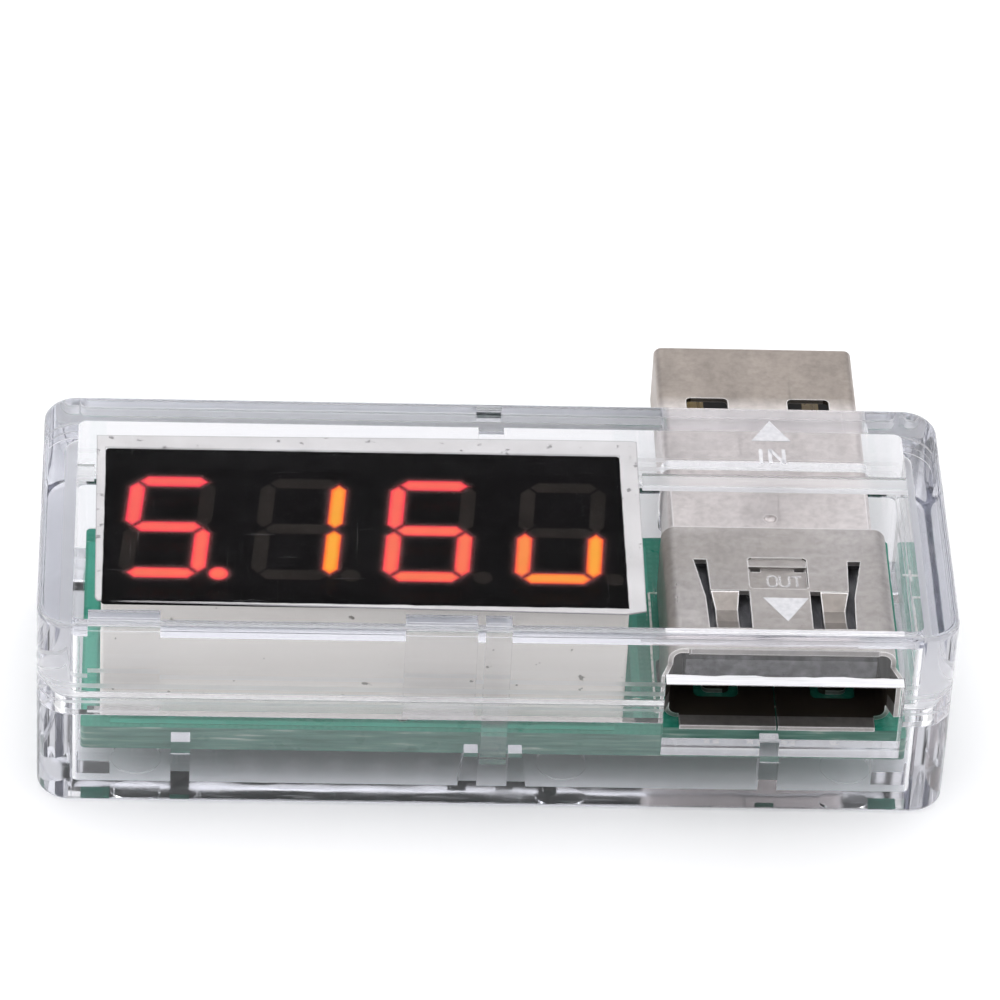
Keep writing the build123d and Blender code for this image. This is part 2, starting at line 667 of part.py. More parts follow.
def make_chip():
    """The microcontroller hangs under the board with ten leads on each long side."""
    body = block(CHIP_X - 3.25, CHIP_X + 3.25, -2.2, 2.2, CHIP_BOTTOM, CHIP_TOP)
    body = chamfer(body.edges().filter_by(Axis.Z), 0.12)
    mark = Pos(CHIP_X - 2.6, -1.5, CHIP_BOTTOM) * Cylinder(0.35, 0.1)
    leads = []
    for i in range(10):
        x = CHIP_X + (i - 4.5) * LEAD_PITCH
        for sign in [-1, 1]:
            y0, y1, y2 = sign * 2.2, sign * 2.5, sign * 3.15
            mid = (CHIP_TOP + CHIP_BOTTOM) / 2
            arm = block(x - 0.12, x + 0.12, min(y0, y1), max(y0, y1), mid - 0.07, mid + 0.07)
            drop = block(x - 0.12, x + 0.12, min(y1, y1 + sign * 0.15),
                         max(y1, y1 + sign * 0.15), mid - 0.07, BOARD_BOTTOM - 0.01)
            foot = block(x - 0.12, x + 0.12, min(y1, y2), max(y1, y2),
                         BOARD_BOTTOM - 0.15, BOARD_BOTTOM - 0.01)
            leads.append(arm + drop + foot)
    return body - mark, leads


def make_regulator():
    """A three lead regulator."""
    top = BOARD_BOTTOM - 0.1
    body = block(REGULATOR_X - 1.45, REGULATOR_X + 1.45, REGULATOR_Y - 0.65,
                 REGULATOR_Y + 0.65, top - 1.0, top)
    leads = []
    for dx, sign in [(-0.95, -1), (0.95, -1), (0, 1)]:
        x = REGULATOR_X + dx
        near = REGULATOR_Y + sign * 0.65
        far = near + sign * 0.65
        leads.append(block(x - 0.2, x + 0.2, min(near, far), max(near, far),
                           BOARD_BOTTOM - 0.16, BOARD_BOTTOM - 0.01))
    return body, leads


def chip_part(x, y, length, depth, height, turned=False):
    """A surface mount part under the board: its body and its two end caps."""
    cap = length * 0.18
    top = BOARD_BOTTOM - 0.01
    low = top - height
    middle = block(-length / 2 + cap, length / 2 - cap, -depth / 2, depth / 2, low, top)
    ends = [block(-length / 2, -length / 2 + cap, -depth / 2, depth / 2, low, top),
            block(length / 2 - cap, length / 2, -depth / 2, depth / 2, low, top)]
    place = Pos(x, y, 0) * Rot(0, 0, 90 if turned else 0)
    return place * middle, [place * end for end in ends]


def make_small_parts():
    """Rows of resistors and capacitors, and all their end caps together."""
    resistors = []
    capacitors = []
    caps = []
    for x in [-19.6, -17.0]:
        for row in range(4):
            body, ends = chip_part(x, -4.0 + 1.9 * row, 1.6, 0.8, 0.45)
            resistors.append(body)
            caps += ends
    for x, y in [(-14.6, 1.6), (-14.6, -0.8), (0.6, 2.2), (0.6, -0.6)]:
        body, ends = chip_part(x, y, 1.6, 0.8, 0.8, turned=True)
        capacitors.append(body)
        caps += ends
    return resistors, capacitors, caps


# Marks on the roof -----------------------------------------------------------------

MARK_X = 16.35
MARK_HEIGHT = 0.03


def make_direction_arrows():
    """Two raised triangles: one points to the plug's side, one to the socket's side."""
    top = CASE_HEIGHT
    into = [(MARK_X - 1.15, 7.25), (MARK_X + 1.15, 7.25), (MARK_X, 9.15)]
    out = [(MARK_X - 1.3, -7.1), (MARK_X + 1.3, -7.1), (MARK_X, -9.15)]
    return [prism(into, top, top + MARK_HEIGHT), prism(out, top, top + MARK_HEIGHT)]


# Build and write every node --------------------------------------------------------

save("top_shell", make_top_shell())
save("bottom_shell", make_bottom_shell())
save("direction_arrows", *make_direction_arrows())

lit_segments, dark_segments = make_segments()
face = plate(DISPLAY_LENGTH, DISPLAY_DEPTH, MOULD_RADIUS, FACE_BOTTOM, DISPLAY_TOP,
             DISPLAY_X, DISPLAY_Y)
for segment in lit_segments + dark_segments:
    face -= segment
save("display_body", make_display_body())
save("display_face", face)
save("display_lit_segments", *lit_segments)
save("display_dark_segments", *dark_segments)
display_pins = make_display_pins()
save("display_pins", *display_pins)
save("protective_film", make_protective_film())

save("circuit_board", make_board())
save("display_solder_joints", *make_display_solder(display_pins))
save("connector_solder_joints", *make_connector_solder())

plug_strips = plug_contacts()
save("plug_shell", make_plug_shell())
save("plug_contacts", *plug_strips)
save("plug_insulator", make_plug_insulator(plug_strips))

socket_strips = socket_contacts()
save("socket_shell", make_socket_shell())
save("socket_spring_left", make_socket_spring(-1))
save("socket_spring_right", make_socket_spring(1))
save("socket_contacts", *socket_strips)
save("socket_tongue", make_socket_tongue(socket_strips))

chip, chip_leads = make_chip()
save("microcontroller", chip)
save("microcontroller_leads", *chip_leads)
regulator, regulator_leads = make_regulator()
save("voltage_regulator", regulator)
save("regulator_leads", *regulator_leads)
shunt, shunt_caps = chip_part(SHUNT_X - 3.6, SHUNT_Y - 0.2, 6.3, 3.1, 0.6)
save("shunt_resistor", shunt)
save("shunt_end_caps", *shunt_caps)
tank, tank_caps = chip_part(4.6, -2.6, 3.2, 1.6, 1.3)
save("tank_capacitor", tank)
save("tank_capacitor_end_caps", *tank_caps)
small_resistors, small_capacitors, end_caps = make_small_parts()
save("chip_resistors", *small_resistors)
save("chip_capacitors", *small_capacitors)
save("chip_end_caps", *end_caps)
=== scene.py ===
import math
import random

import bmesh
import bpy
from mathutils import Matrix, Vector


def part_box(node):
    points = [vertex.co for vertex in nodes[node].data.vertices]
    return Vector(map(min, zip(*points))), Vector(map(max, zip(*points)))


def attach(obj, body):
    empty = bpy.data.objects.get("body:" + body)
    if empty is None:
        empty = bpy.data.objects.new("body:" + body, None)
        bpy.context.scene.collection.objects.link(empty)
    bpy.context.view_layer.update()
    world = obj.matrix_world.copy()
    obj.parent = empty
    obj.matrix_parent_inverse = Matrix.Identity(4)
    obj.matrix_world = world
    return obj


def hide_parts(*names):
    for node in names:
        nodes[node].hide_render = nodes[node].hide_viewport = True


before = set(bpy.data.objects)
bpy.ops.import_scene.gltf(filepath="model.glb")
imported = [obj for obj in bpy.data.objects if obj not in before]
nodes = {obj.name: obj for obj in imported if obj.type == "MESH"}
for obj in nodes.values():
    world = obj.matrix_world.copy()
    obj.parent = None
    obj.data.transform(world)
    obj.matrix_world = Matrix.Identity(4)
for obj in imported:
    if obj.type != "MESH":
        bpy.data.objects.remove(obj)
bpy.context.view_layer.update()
MM = 0.001

# The studio: a plain white table under soft boxes, with a small black flag far behind
# that keeps glare off the roof over the digits. A long lens looks down from the front.
LENS = 237.5
DISTANCE = 379.7 * MM
AIM = Vector((0.19, 0.0, 14.3)) * MM
TURN = math.radians(-3.59)
TILT = math.radians(38.94)
ROLL = math.radians(3.21)
FLAG_DIRECTION = (0.03, 0.777, 0.628)
back = Vector((math.sin(TURN) * math.cos(TILT), -math.cos(TURN) * math.cos(TILT),
               math.sin(TILT)))
across = (-back).cross(Vector((0, 0, 1))).normalized()
upward = across.cross(-back)
view_right = across * math.cos(ROLL) + upward * math.sin(ROLL)
view_up = upward * math.cos(ROLL) - across * math.sin(ROLL)
camera_data = bpy.data.cameras.new("camera")
camera_data.lens = LENS
camera_data.sensor_width = 36
camera_data.clip_start = 0.01
camera = bpy.data.objects.new("camera", camera_data)
turned = Matrix((view_right, view_up, back)).transposed().to_4x4()
camera.matrix_world = Matrix.Translation(AIM + back * DISTANCE) @ turned
bpy.context.scene.collection.objects.link(camera)
bpy.context.scene.camera = camera
bpy.context.scene.view_settings.view_transform = "Standard"
# Light runs down the clear walls by many reflections before it leaves them.
bpy.context.scene.cycles.max_bounces = 32
bpy.context.scene.cycles.glossy_bounces = 24
bpy.context.scene.cycles.transmission_bounces = 24
bpy.context.scene.cycles.transparent_max_bounces = 32


def blank_material(name):
    """A material with only its output node."""
    material = bpy.data.materials.new(name)
    material.use_nodes = True
    material.node_tree.nodes.clear()
    output = material.node_tree.nodes.new("ShaderNodeOutputMaterial")
    return material, material.node_tree, output


def add_node(tree, kind, **values):
    """A node with its input sockets set by name, written with _ for a space."""
    made = tree.nodes.new("ShaderNode" + kind)
    for name, value in values.items():
        made.inputs[name.replace("_", " ")].default_value = value
    return made


def plain_shader(tree, colour, roughness, **values):
    return add_node(tree, "BsdfPrincipled", Base_Color=(*colour, 1), Roughness=roughness,
                    **values)


def ramp(tree, value, *stops):
    """Colours or greys by a value between 0 and 1, as (place, colour) stops."""
    made = tree.nodes.new("ShaderNodeValToRGB")
    elements = made.color_ramp.elements
    while len(elements) < len(stops):
        elements.new(0.5)
    for element, (place, colour) in zip(elements, stops):
        element.position = place
        element.color = (*colour, 1) if isinstance(colour, tuple) else (colour,) * 3 + (1,)
    tree.links.new(value, made.inputs[0])
    return made.outputs[0]


def multiply(tree, first, second):
    made = tree.nodes.new("ShaderNodeMix")
    made.data_type = "RGBA"
    made.blend_type = "MULTIPLY"
    made.inputs[0].default_value = 1.0
    tree.links.new(first, made.inputs[6])
    tree.links.new(second, made.inputs[7])
    return made.outputs[2]


def dot_product(tree, first, second):
    """The dot product of two vector sockets, or of a socket and a fixed direction."""
    made = tree.nodes.new("ShaderNodeVectorMath")
    made.operation = "DOT_PRODUCT"
    tree.links.new(first, made.inputs[0])
    if isinstance(second, tuple):
        made.inputs[1].default_value = second
    else:
        tree.links.new(second, made.inputs[1])
    return made.outputs["Value"]


def table():
    size = 3.0
    mesh = bpy.data.meshes.new("table")
    corners = [(-size, -size, 0), (size, -size, 0), (size, size, 0), (-size, size, 0)]
    mesh.from_pydata(corners, [], [(0, 1, 2, 3)])
    top = bpy.data.objects.new("table", mesh)
    top.location.z = -0.02 * MM
    bpy.context.scene.collection.objects.link(top)
    material, tree, output = blank_material("white_table")
    paint = plain_shader(tree, (0.94, 0.94, 0.95), 0.7, Specular_IOR_Level=0.2)
    tree.links.new(paint.outputs[0], output.inputs[0])
    mesh.materials.append(material)


def lamp(name, place, width, depth, power):
    data = bpy.data.lights.new(name, "AREA")
    data.shape = "RECTANGLE"
    data.size = width
    data.size_y = depth
    data.energy = power
    made = bpy.data.objects.new(name, data)
    made.location = place
    made.rotation_mode = "QUATERNION"
    made.rotation_quaternion = (-Vector(place)).to_track_quat("-Z", "Y")
    bpy.context.scene.collection.objects.link(made)


def room():
    """Soft light from all round, dimmer in front, with one black flag high behind."""
    world = bpy.data.worlds.new("room")
    world.use_nodes = True
    bpy.context.scene.world = world
    tree = world.node_tree
    tree.nodes.clear()
    place = tree.nodes.new("ShaderNodeTexCoord")
    split = tree.nodes.new("ShaderNodeSeparateXYZ")
    tree.links.new(place.outputs["Generated"], split.inputs[0])
    sky = ramp(tree, split.outputs["Z"], (0.0, (0.60, 0.61, 0.65)), (0.7, (1.0, 1.0, 1.0)))
    behind = tree.nodes.new("ShaderNodeMath")
    behind.operation = "MULTIPLY_ADD"
    behind.inputs[1].default_value = 0.5
    behind.inputs[2].default_value = 0.5
    tree.links.new(split.outputs["Y"], behind.inputs[0])
    front = ramp(tree, behind.outputs[0], (0.12, 0.42), (0.42, 1.0))
    towards = dot_product(tree, place.outputs["Generated"], FLAG_DIRECTION)
    flag = ramp(tree, towards, (0.989, 1.0), (0.9955, 0.02))
    seen = multiply(tree, multiply(tree, sky, front), flag)
    shade = add_node(tree, "Background", Strength=0.92)
    output = tree.nodes.new("ShaderNodeOutputWorld")
    tree.links.new(seen, shade.inputs[0])
    tree.links.new(shade.outputs[0], output.inputs[0])


table()
room()
lamp("overhead", (-0.04, 0.02, 0.55), 0.9, 0.5, 2.0)
lamp("left_side", (-0.5, 0.02, 0.28), 0.2, 0.3, 0.45)
lamp("right_side", (0.5, 0.08, 0.25), 0.2, 0.3, 0.45)


# The bottom shell: a clear tray with a raised inner lip, moulded in one shot of
# polystyrene. It lies on the table and carries the board on its posts.
def noise(tree, scale, detail=2.0, stretch=(1, 1, 1)):
    """Noise in the part's own space. A large stretch makes it fine along that axis."""
    place = tree.nodes.new("ShaderNodeTexCoord")
    mapping = add_node(tree, "Mapping", Scale=stretch)
    made = add_node(tree, "TexNoise", Scale=scale, Detail=detail)
    tree.links.new(place.outputs["Object"], mapping.inputs["Vector"])
    tree.links.new(mapping.outputs[0], made.inputs["Vector"])
    return made.outputs["Fac"]


def arithmetic(tree, operation, first, second=0):
    """One Math node on two sockets or numbers."""
    made = tree.nodes.new("ShaderNodeMath")
    made.operation = operation
    for socket, value in zip(made.inputs, (first, second)):
        if isinstance(value, (int, float)):
            socket.default_value = value
        else:
            tree.links.new(value, socket)
    return made.outputs[0]


def relief(tree, shader, height, depth, strength=0.3):
    """Gives a shader a bump of the depth in mm."""
    bump = add_node(tree, "Bump", Strength=strength, Distance=depth * MM)
    tree.links.new(height, bump.inputs["Height"])
    tree.links.new(bump.outputs[0], shader.inputs["Normal"])


def finish_node(name, material):
    mesh = nodes[name].data
    mesh.materials.clear()
    mesh.materials.append(material)


def part_place(tree):
    """The X, Y and Z sockets of a point in the part's own space, in metres."""
    place = tree.nodes.new("ShaderNodeTexCoord")
    split = tree.nodes.new("ShaderNodeSeparateXYZ")
    tree.links.new(place.outputs["Object"], split.inputs[0])
    return split.outputs


def distance_from(tree, value, middle):
    """How far a coordinate is from a middle given in mm, on either side, in metres."""
    return arithmetic(tree, "ABSOLUTE", arithmetic(tree, "SUBTRACT", value, middle * MM))


def mix_shaders(tree, share, first, second, output):
    mix = tree.nodes.new("ShaderNodeMixShader")
    tree.links.new(share, mix.inputs[0])
    tree.links.new(first.outputs[0], mix.inputs[1])
    tree.links.new(second.outputs[0], mix.inputs[2])
    tree.links.new(mix.outputs[0], output.inputs[0])


RIB_Y = 4.4
RIB_Z = 11.46
LIP_TOP_Z = 7.56
OPENING_Z = 8.78


def dull_share(tree):
    """1 on the rib, the lip's top and the plug's opening, which the mould leaves dull."""
    place = part_place(tree)
    near = []
    for axis, middle, half in (("Y", RIB_Y, 0.62), ("Z", RIB_Z, 0.21), ("Z", LIP_TOP_Z, 0.1),
                               ("Z", OPENING_Z, 0.16)):
        away = distance_from(tree, place[axis], middle)
        near.append(arithmetic(tree, "LESS_THAN", away, half * MM))
    rib = arithmetic(tree, "MULTIPLY", near[0], near[1])
    return arithmetic(tree, "MAXIMUM", rib, arithmetic(tree, "MAXIMUM", near[2], near[3]))


def clear_plastic():
    """Polished polystyrene: slight flow waves, hairline scratches, dull handled patches."""
    material, tree, output = blank_material("clear_polystyrene")
    body = plain_shader(tree, (0.985, 0.985, 0.992), 0.02, IOR=1.5,
                        Transmission_Weight=1.0)
    tint = ramp(tree, noise(tree, 90.0, 3.0), (0.3, (0.975, 0.975, 0.986)),
                (0.7, (0.99, 0.99, 0.996)))
    tree.links.new(tint, body.inputs["Base Color"])
    along = ramp(tree, noise(tree, 60.0, 4.0, (90, 3, 3)), (0.69, 0.0), (0.74, 1.0))
    aslant = ramp(tree, noise(tree, 55.0, 4.0, (4, 80, 4)), (0.70, 0.0), (0.75, 1.0))
    scratches = arithmetic(tree, "MAXIMUM", along, aslant)
    handled = ramp(tree, noise(tree, 120.0, 6.0), (0.4, 0.015), (0.75, 0.06))
    rough = arithmetic(tree, "ADD", handled, arithmetic(tree, "MULTIPLY", scratches, 0.12))
    sparked = arithmetic(tree, "MULTIPLY", dull_share(tree), 0.55)
    tree.links.new(arithmetic(tree, "MAXIMUM", rough, sparked), body.inputs["Roughness"])
    flow = noise(tree, 150.0, 2.0, (1, 1, 0.5))
    height = arithmetic(tree, "SUBTRACT", flow, arithmetic(tree, "MULTIPLY", scratches, 0.03))
    relief(tree, body, height, 0.05, 0.4)
    lets_by = add_node(tree, "BsdfTransparent", Color=(0.955, 0.958, 0.965, 1))
    path = tree.nodes.new("ShaderNodeLightPath")
    mix_shaders(tree, path.outputs["Is Shadow Ray"], body, lets_by, output)
    depth = add_node(tree, "VolumeAbsorption", Color=(0.75, 0.755, 0.80, 1), Density=62.0)
    tree.links.new(depth.outputs[0], output.inputs["Volume"])
    return material


clear = clear_plastic()
finish_node("bottom_shell", clear)


# The circuit board: glass fibre laminate, sawn at its edges, with green solder mask
# over the copper on both faces. It rests on the posts of the bottom shell.
BOARD_LOW, BOARD_HIGH = [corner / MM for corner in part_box("circuit_board")]
UNDER = BOARD_LOW.z


def face_share(tree):
    """1 on level faces and 0 on upright ones."""
    geometry = tree.nodes.new("ShaderNodeNewGeometry")
    split = tree.nodes.new("ShaderNodeSeparateXYZ")
    tree.links.new(geometry.outputs["Normal"], split.inputs[0])
    level = arithmetic(tree, "ABSOLUTE", split.outputs["Z"])
    return arithmetic(tree, "GREATER_THAN", level, 0.5)


def blend_colours(tree, share, first, second):
    made = tree.nodes.new("ShaderNodeMix")
    made.data_type = "RGBA"
    for socket, value in zip((made.inputs[0], made.inputs[6], made.inputs[7]),
                             (share, first, second)):
        if isinstance(value, tuple):
            socket.default_value = (*value, 1)
        elif isinstance(value, (int, float)):
            socket.default_value = value
        else:
            tree.links.new(value, socket)
    return made.outputs[2]


def weave(tree):
    """The glass cloth that shows faintly through the mask."""
    place = tree.nodes.new("ShaderNodeTexCoord")
    threads = []
    for direction in ("X", "Y"):
        wave = add_node(tree, "TexWave", Scale=700.0, Distortion=0.6, Detail_Scale=3.0)
        wave.bands_direction = direction
        tree.links.new(place.outputs["Object"], wave.inputs["Vector"])
        threads.append(wave.outputs["Fac"])
    return arithmetic(tree, "MULTIPLY", threads[0], threads[1])


def board_finish(name, low, high):
    """Green mask over laminate or copper, with bare fibre layers at the sawn edges."""
    material, tree, output = blank_material(name)
    mask = plain_shader(tree, low, 0.3, Coat_Weight=0.3, Coat_Roughness=0.12)
    patchy = ramp(tree, noise(tree, 250.0, 5.0), (0.3, low), (0.7, high))
    threads = weave(tree)
    green = blend_colours(tree, arithmetic(tree, "MULTIPLY", threads, 0.25), patchy,
                          (0.10, 0.42, 0.30))
    layers = ramp(tree, noise(tree, 240.0, 6.0, (1, 1, 14)), (0.35, (0.03, 0.15, 0.11)),
                  (0.55, (0.09, 0.25, 0.19)), (0.63, (0.16, 0.32, 0.26)),
                  (0.70, (0.55, 0.62, 0.56)))
    colour = blend_colours(tree, face_share(tree), layers, green)
    tree.links.new(colour, mask.inputs["Base Color"])
    gloss = ramp(tree, noise(tree, 500.0, 3.0), (0.3, 0.24), (0.7, 0.42))
    tree.links.new(gloss, mask.inputs["Roughness"])
    relief(tree, mask, arithmetic(tree, "ADD", threads, noise(tree, 900.0)), 0.02)
    tree.links.new(mask.outputs[0], output.inputs[0])
    return material


finish_node("circuit_board", board_finish("green_solder_mask", (0.012, 0.20, 0.135),
                                          (0.022, 0.27, 0.19)))


# Copper tracks under the mask stand a little proud and look paler than the board.
# They lead from the display's pins to the microcontroller, and carry the current.
def loft(mesh, rings):
    """Skins rings of equal counts, given in mm, and closes both ends."""
    rows = [[mesh.verts.new(Vector(point) * MM) for point in ring] for ring in rings]
    count = len(rows[0])
    for low, high in zip(rows, rows[1:]):
        for i in range(count):
            j = (i + 1) % count
            mesh.faces.new((low[i], low[j], high[j], high[i]))
    mesh.faces.new(list(reversed(rows[0])))
    mesh.faces.new(rows[-1])


def slab(mesh, outline, low, high):
    """An upright prism on a plan outline."""
    loft(mesh, [[(x, y, z) for x, y in outline] for z in (low, high)])


def make_piece(name, mesh, material, body):
    """Turns a finished bmesh into a piece that rides on a body."""
    bmesh.ops.recalc_face_normals(mesh, faces=mesh.faces)
    data = bpy.data.meshes.new(name)
    mesh.to_mesh(data)
    mesh.free()
    data.materials.append(material)
    data.shade_smooth()
    data.set_sharp_from_angle(angle=math.radians(40))
    piece = bpy.data.objects.new(name, data)
    bpy.context.scene.collection.objects.link(piece)
    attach(piece, body)
    return piece


def stroke(mesh, points, width, low, high):
    """A flat track along a line of plan points, with mitred joins and square ends."""
    places = [Vector(point) for point in points]
    left = []
    right = []
    for i, place in enumerate(places):
        before = (place - places[i - 1]).normalized() if i else None
        after = (places[i + 1] - place).normalized() if i + 1 < len(places) else None
        run = ((before or after) + (after or before)).normalized()
        side = Vector((-run.y, run.x))
        spread = width / 2 / max(0.4, run.dot(after or before))
        left.append(place + side * spread)
        right.append(place - side * spread)
    slab(mesh, [tuple(p) for p in left + right[::-1]], low, high)


PIN_LOW, PIN_HIGH = [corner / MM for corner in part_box("display_pins")]
CHIP_LOW, CHIP_HIGH = [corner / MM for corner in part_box("microcontroller")]
CHIP_X = (CHIP_LOW.x + CHIP_HIGH.x) / 2
LEAD_PITCH = 0.65
FOOT_Y = 2.9
PIN_PITCH = 2.54
PIN_XS = [(PIN_LOW.x + PIN_HIGH.x) / 2 + (i - 2.5) * PIN_PITCH for i in range(6)]
PIN_Y = (PIN_HIGH.y - PIN_LOW.y) / 2 - 0.25
COPPER = 0.035
TRACK = 0.28
PLUG_LOW, PLUG_HIGH = [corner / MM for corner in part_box("plug_shell")]
CONNECTOR_X = (PLUG_LOW.x + PLUG_HIGH.x) / 2


def copper_tracks():
    mesh = bmesh.new()
    low, high = UNDER - COPPER, UNDER
    for side in (-1, 1):
        for i, pin_x in enumerate(PIN_XS):
            lead_x = CHIP_X + (i - 2.5 + side) * LEAD_PITCH
            turn_y = side * (4.15 - 0.16 * abs(i - 2.5))
            stroke(mesh, [(pin_x, side * PIN_Y), (pin_x, side * 4.4),
                          (lead_x, turn_y - side * 0.7), (lead_x, side * FOOT_Y)],
                   TRACK, low, high)
    for row in range(4):
        y = -4.0 + 1.9 * row
        stroke(mesh, [(-16.3, y), (-15.9, y), (-15.4, y + 0.5), (-15.4, y + 1.0)],
               TRACK, low, high)
        stroke(mesh, [(-20.3, y), (-21.6, y), (-22.3, y + 0.7), (-22.3, y + 1.6)],
               TRACK, low, high)
    below = [(2.2, [(9.6, 4.3), (12.0, 4.3), (12.9, 3.4), (12.9, 1.2)]),
             (1.2, [(4.2, 4.4), (2.4, 4.4), (1.2, 5.6), (1.2, 6.9), (22.5, 6.9)]),
             (1.4, [(19.9, 1.3), (21.6, -0.6), (21.6, -6.6), (8.6, -6.6), (6.2, -4.4)])]
    for width, line in below:
        stroke(mesh, line, width, low, high)
    top = BOARD_HIGH.z
    above = [(0.7, [(-23.2, -6.8), (-23.2, 7.0)]),
             (0.5, [(8.4, -7.2), (8.4, 2.4), (9.2, 3.2), (9.2, 7.4)]),
             (0.4, [(-19.0, 7.75), (8.0, 7.75)]),
             (0.35, [(-22.0, -7.55), (7.0, -7.55)])]
    for width, line in above:
        stroke(mesh, line, width, top, top + COPPER)
    finish = board_finish("mask_over_copper", (0.03, 0.31, 0.215), (0.045, 0.37, 0.27))
    make_piece("copper_tracks", mesh, finish, "base")


copper_tracks()


# Bare tinned pads and plated through holes, printed as thin lands round every leg, and
# raised solder where the small parts are fixed by reflow.
def tin_finish(name, colour, smooth, rough, dull):
    """Bright tin or solder, with frosty patches and a slightly rippled skin."""
    material, tree, output = blank_material(name)
    metal = plain_shader(tree, colour, smooth, Metallic=1.0)
    shade = ramp(tree, noise(tree, 900.0, 4.0), (0.3, dull), (0.7, colour))
    tree.links.new(shade, metal.inputs["Base Color"])
    frost = ramp(tree, noise(tree, 2200.0, 5.0), (0.35, smooth), (0.7, rough))
    tree.links.new(frost, metal.inputs["Roughness"])
    relief(tree, metal, noise(tree, 1800.0, 3.0), 0.03)
    tree.links.new(metal.outputs[0], output.inputs[0])
    return material


solder = tin_finish("bright_solder", (0.80, 0.81, 0.83), 0.16, 0.42, (0.58, 0.59, 0.61))
tinned = tin_finish("tinned_copper", (0.78, 0.77, 0.74), 0.22, 0.38, (0.62, 0.60, 0.56))


def circle(x, y, radius, count=20):
    turns = [2 * math.pi * i / count for i in range(count)]
    return [(x + radius * math.cos(t), y + radius * math.sin(t)) for t in turns]


def rounded(x, y, length, depth, radius, corner=4):
    """A plan outline with rounded corners."""
    outline = []
    for quarter, (sx, sy) in enumerate([(1, 1), (-1, 1), (-1, -1), (1, -1)]):
        for step in range(corner + 1):
            angle = math.pi / 2 * (quarter + step / corner)
            outline.append((x + sx * (length / 2 - radius) + radius * math.cos(angle),
                            y + sy * (depth / 2 - radius) + radius * math.sin(angle)))
    return outline


def ring_land(mesh, x, y, inner, outer, low, high):
    """A flat ring round a hole."""
    count = 20
    rows = [[mesh.verts.new(Vector((*point, z)) * MM) for point in circle(x, y, radius, count)]
            for radius, z in ((inner, low), (outer, low), (outer, high), (inner, high))]
    for here, there in zip(rows, rows[1:] + rows[:1]):
        for i in range(count):
            j = (i + 1) % count
            mesh.faces.new((here[i], here[j], there[j], there[i]))


LEG_ROWS = [2.8, 1.35]
LEG_XS = [CONNECTOR_X + offset for offset in (-3.5, -1.0, 1.0, 3.5)]
LAND = 0.012
LEG_HOLE = 0.46
VIA_HOLE = 0.16
VIA_LAND = 0.34
PLUG_LEGS = (5.85, 5.2)
SOCKET_LEGS = (6.4, -2.6)


def through_hole_lands():
    mesh = bmesh.new()
    places = [(x, side * PIN_Y - 0.1) for x in PIN_XS for side in (-1, 1)]
    places += [(x, y) for x in LEG_XS for y in LEG_ROWS]
    lowest = UNDER - COPPER - LAND
    top = BOARD_HIGH.z
    for x, y in places:
        ring_land(mesh, x, y, LEG_HOLE, 0.92, lowest, UNDER)
        ring_land(mesh, x, y, LEG_HOLE, 0.85, top, top + COPPER)
    vias = [(-15.4, -2.6), (-15.4, 4.4), (-22.3, -2.3), (-22.3, 3.4), (1.2, 6.2), (8.4, -5.2),
            (6.6, 6.9), (12.9, 0.8), (21.6, -4.2), (-5.2, -6.9), (-13.4, 6.9), (2.4, -6.6)]
    for x, y in vias:
        ring_land(mesh, x, y, VIA_HOLE, VIA_LAND, lowest, UNDER)
        ring_land(mesh, x, y, VIA_HOLE, VIA_LAND, top, top + COPPER + LAND)
    make_piece("through_hole_lands", mesh, tinned, "base")


def loose_boxes(node):
    """The box of each loose solid of a CAD node, in mm, from its joined corners."""
    mesh = bmesh.new()
    mesh.from_mesh(nodes[node].data)
    bmesh.ops.remove_doubles(mesh, verts=mesh.verts, dist=1e-6)
    boxes = []
    unseen = set(mesh.verts)
    while unseen:
        todo = [min(unseen, key=lambda v: v.index)]
        unseen.discard(todo[0])
        found = []
        while todo:
            vertex = todo.pop()
            found.append(vertex.co / MM)
            for edge in vertex.link_edges:
                other = edge.other_vert(vertex)
                if other in unseen:
                    unseen.discard(other)
                    todo.append(other)
        boxes.append((Vector([min(v[i] for v in found) for i in range(3)]),
                      Vector([max(v[i] for v in found) for i in range(3)])))
    mesh.free()
    return boxes


def reflowed_solder():
    """A sloped foot of solder at every end cap and lead."""
    mesh = bmesh.new()

    def foot(x, y, length, depth, rise, spread):
        rings = []
        for share, drop in ((1.0, 0.0), (0.45, 0.3), (0.12, 0.75), (0.0, 1.0)):
            wider = 2 * spread * share
            outline = rounded(x, y, length + wider, depth + wider, 0.06)
            rings.append([(px, py, UNDER - 0.004 - rise * drop) for px, py in outline])
        loft(mesh, rings)

    for i in range(10):
        for side in (-1, 1):
            foot(CHIP_X + (i - 4.5) * LEAD_PITCH, side * FOOT_Y, 0.26, 0.55, 0.11, 0.09)
    for node, rise in (("chip_end_caps", 0.26), ("shunt_end_caps", 0.36),
                       ("tank_capacitor_end_caps", 0.5), ("regulator_leads", 0.12)):
        for low, high in loose_boxes(node):
            size = high - low
            foot((low.x + high.x) / 2, (low.y + high.y) / 2, size.x, size.y, rise, 0.16)
    make_piece("reflowed_solder", mesh, solder, "base")


def shell_leg_solder():
    """Long mounds that fix the four legs of the connectors' shells in their slots."""
    mesh = bmesh.new()
    for half, y in (PLUG_LEGS, SOCKET_LEGS):
        for side in (-1, 1):
            rings = []
            for length, depth, drop in ((1.5, 3.3, 0.0), (1.2, 3.0, 0.2), (0.75, 2.6, 0.48),
                                        (0.48, 2.3, 0.68)):
                outline = rounded(CONNECTOR_X + side * half, y, length, depth, length * 0.45)
                rings.append([(px, py, UNDER - 0.004 - drop) for px, py in outline])
            loft(mesh, rings)
    make_piece("shell_leg_solder", mesh, solder, "base")


through_hole_lands()
reflowed_solder()
shell_leg_solder()
finish_node("display_solder_joints", solder)
finish_node("connector_solder_joints", solder)


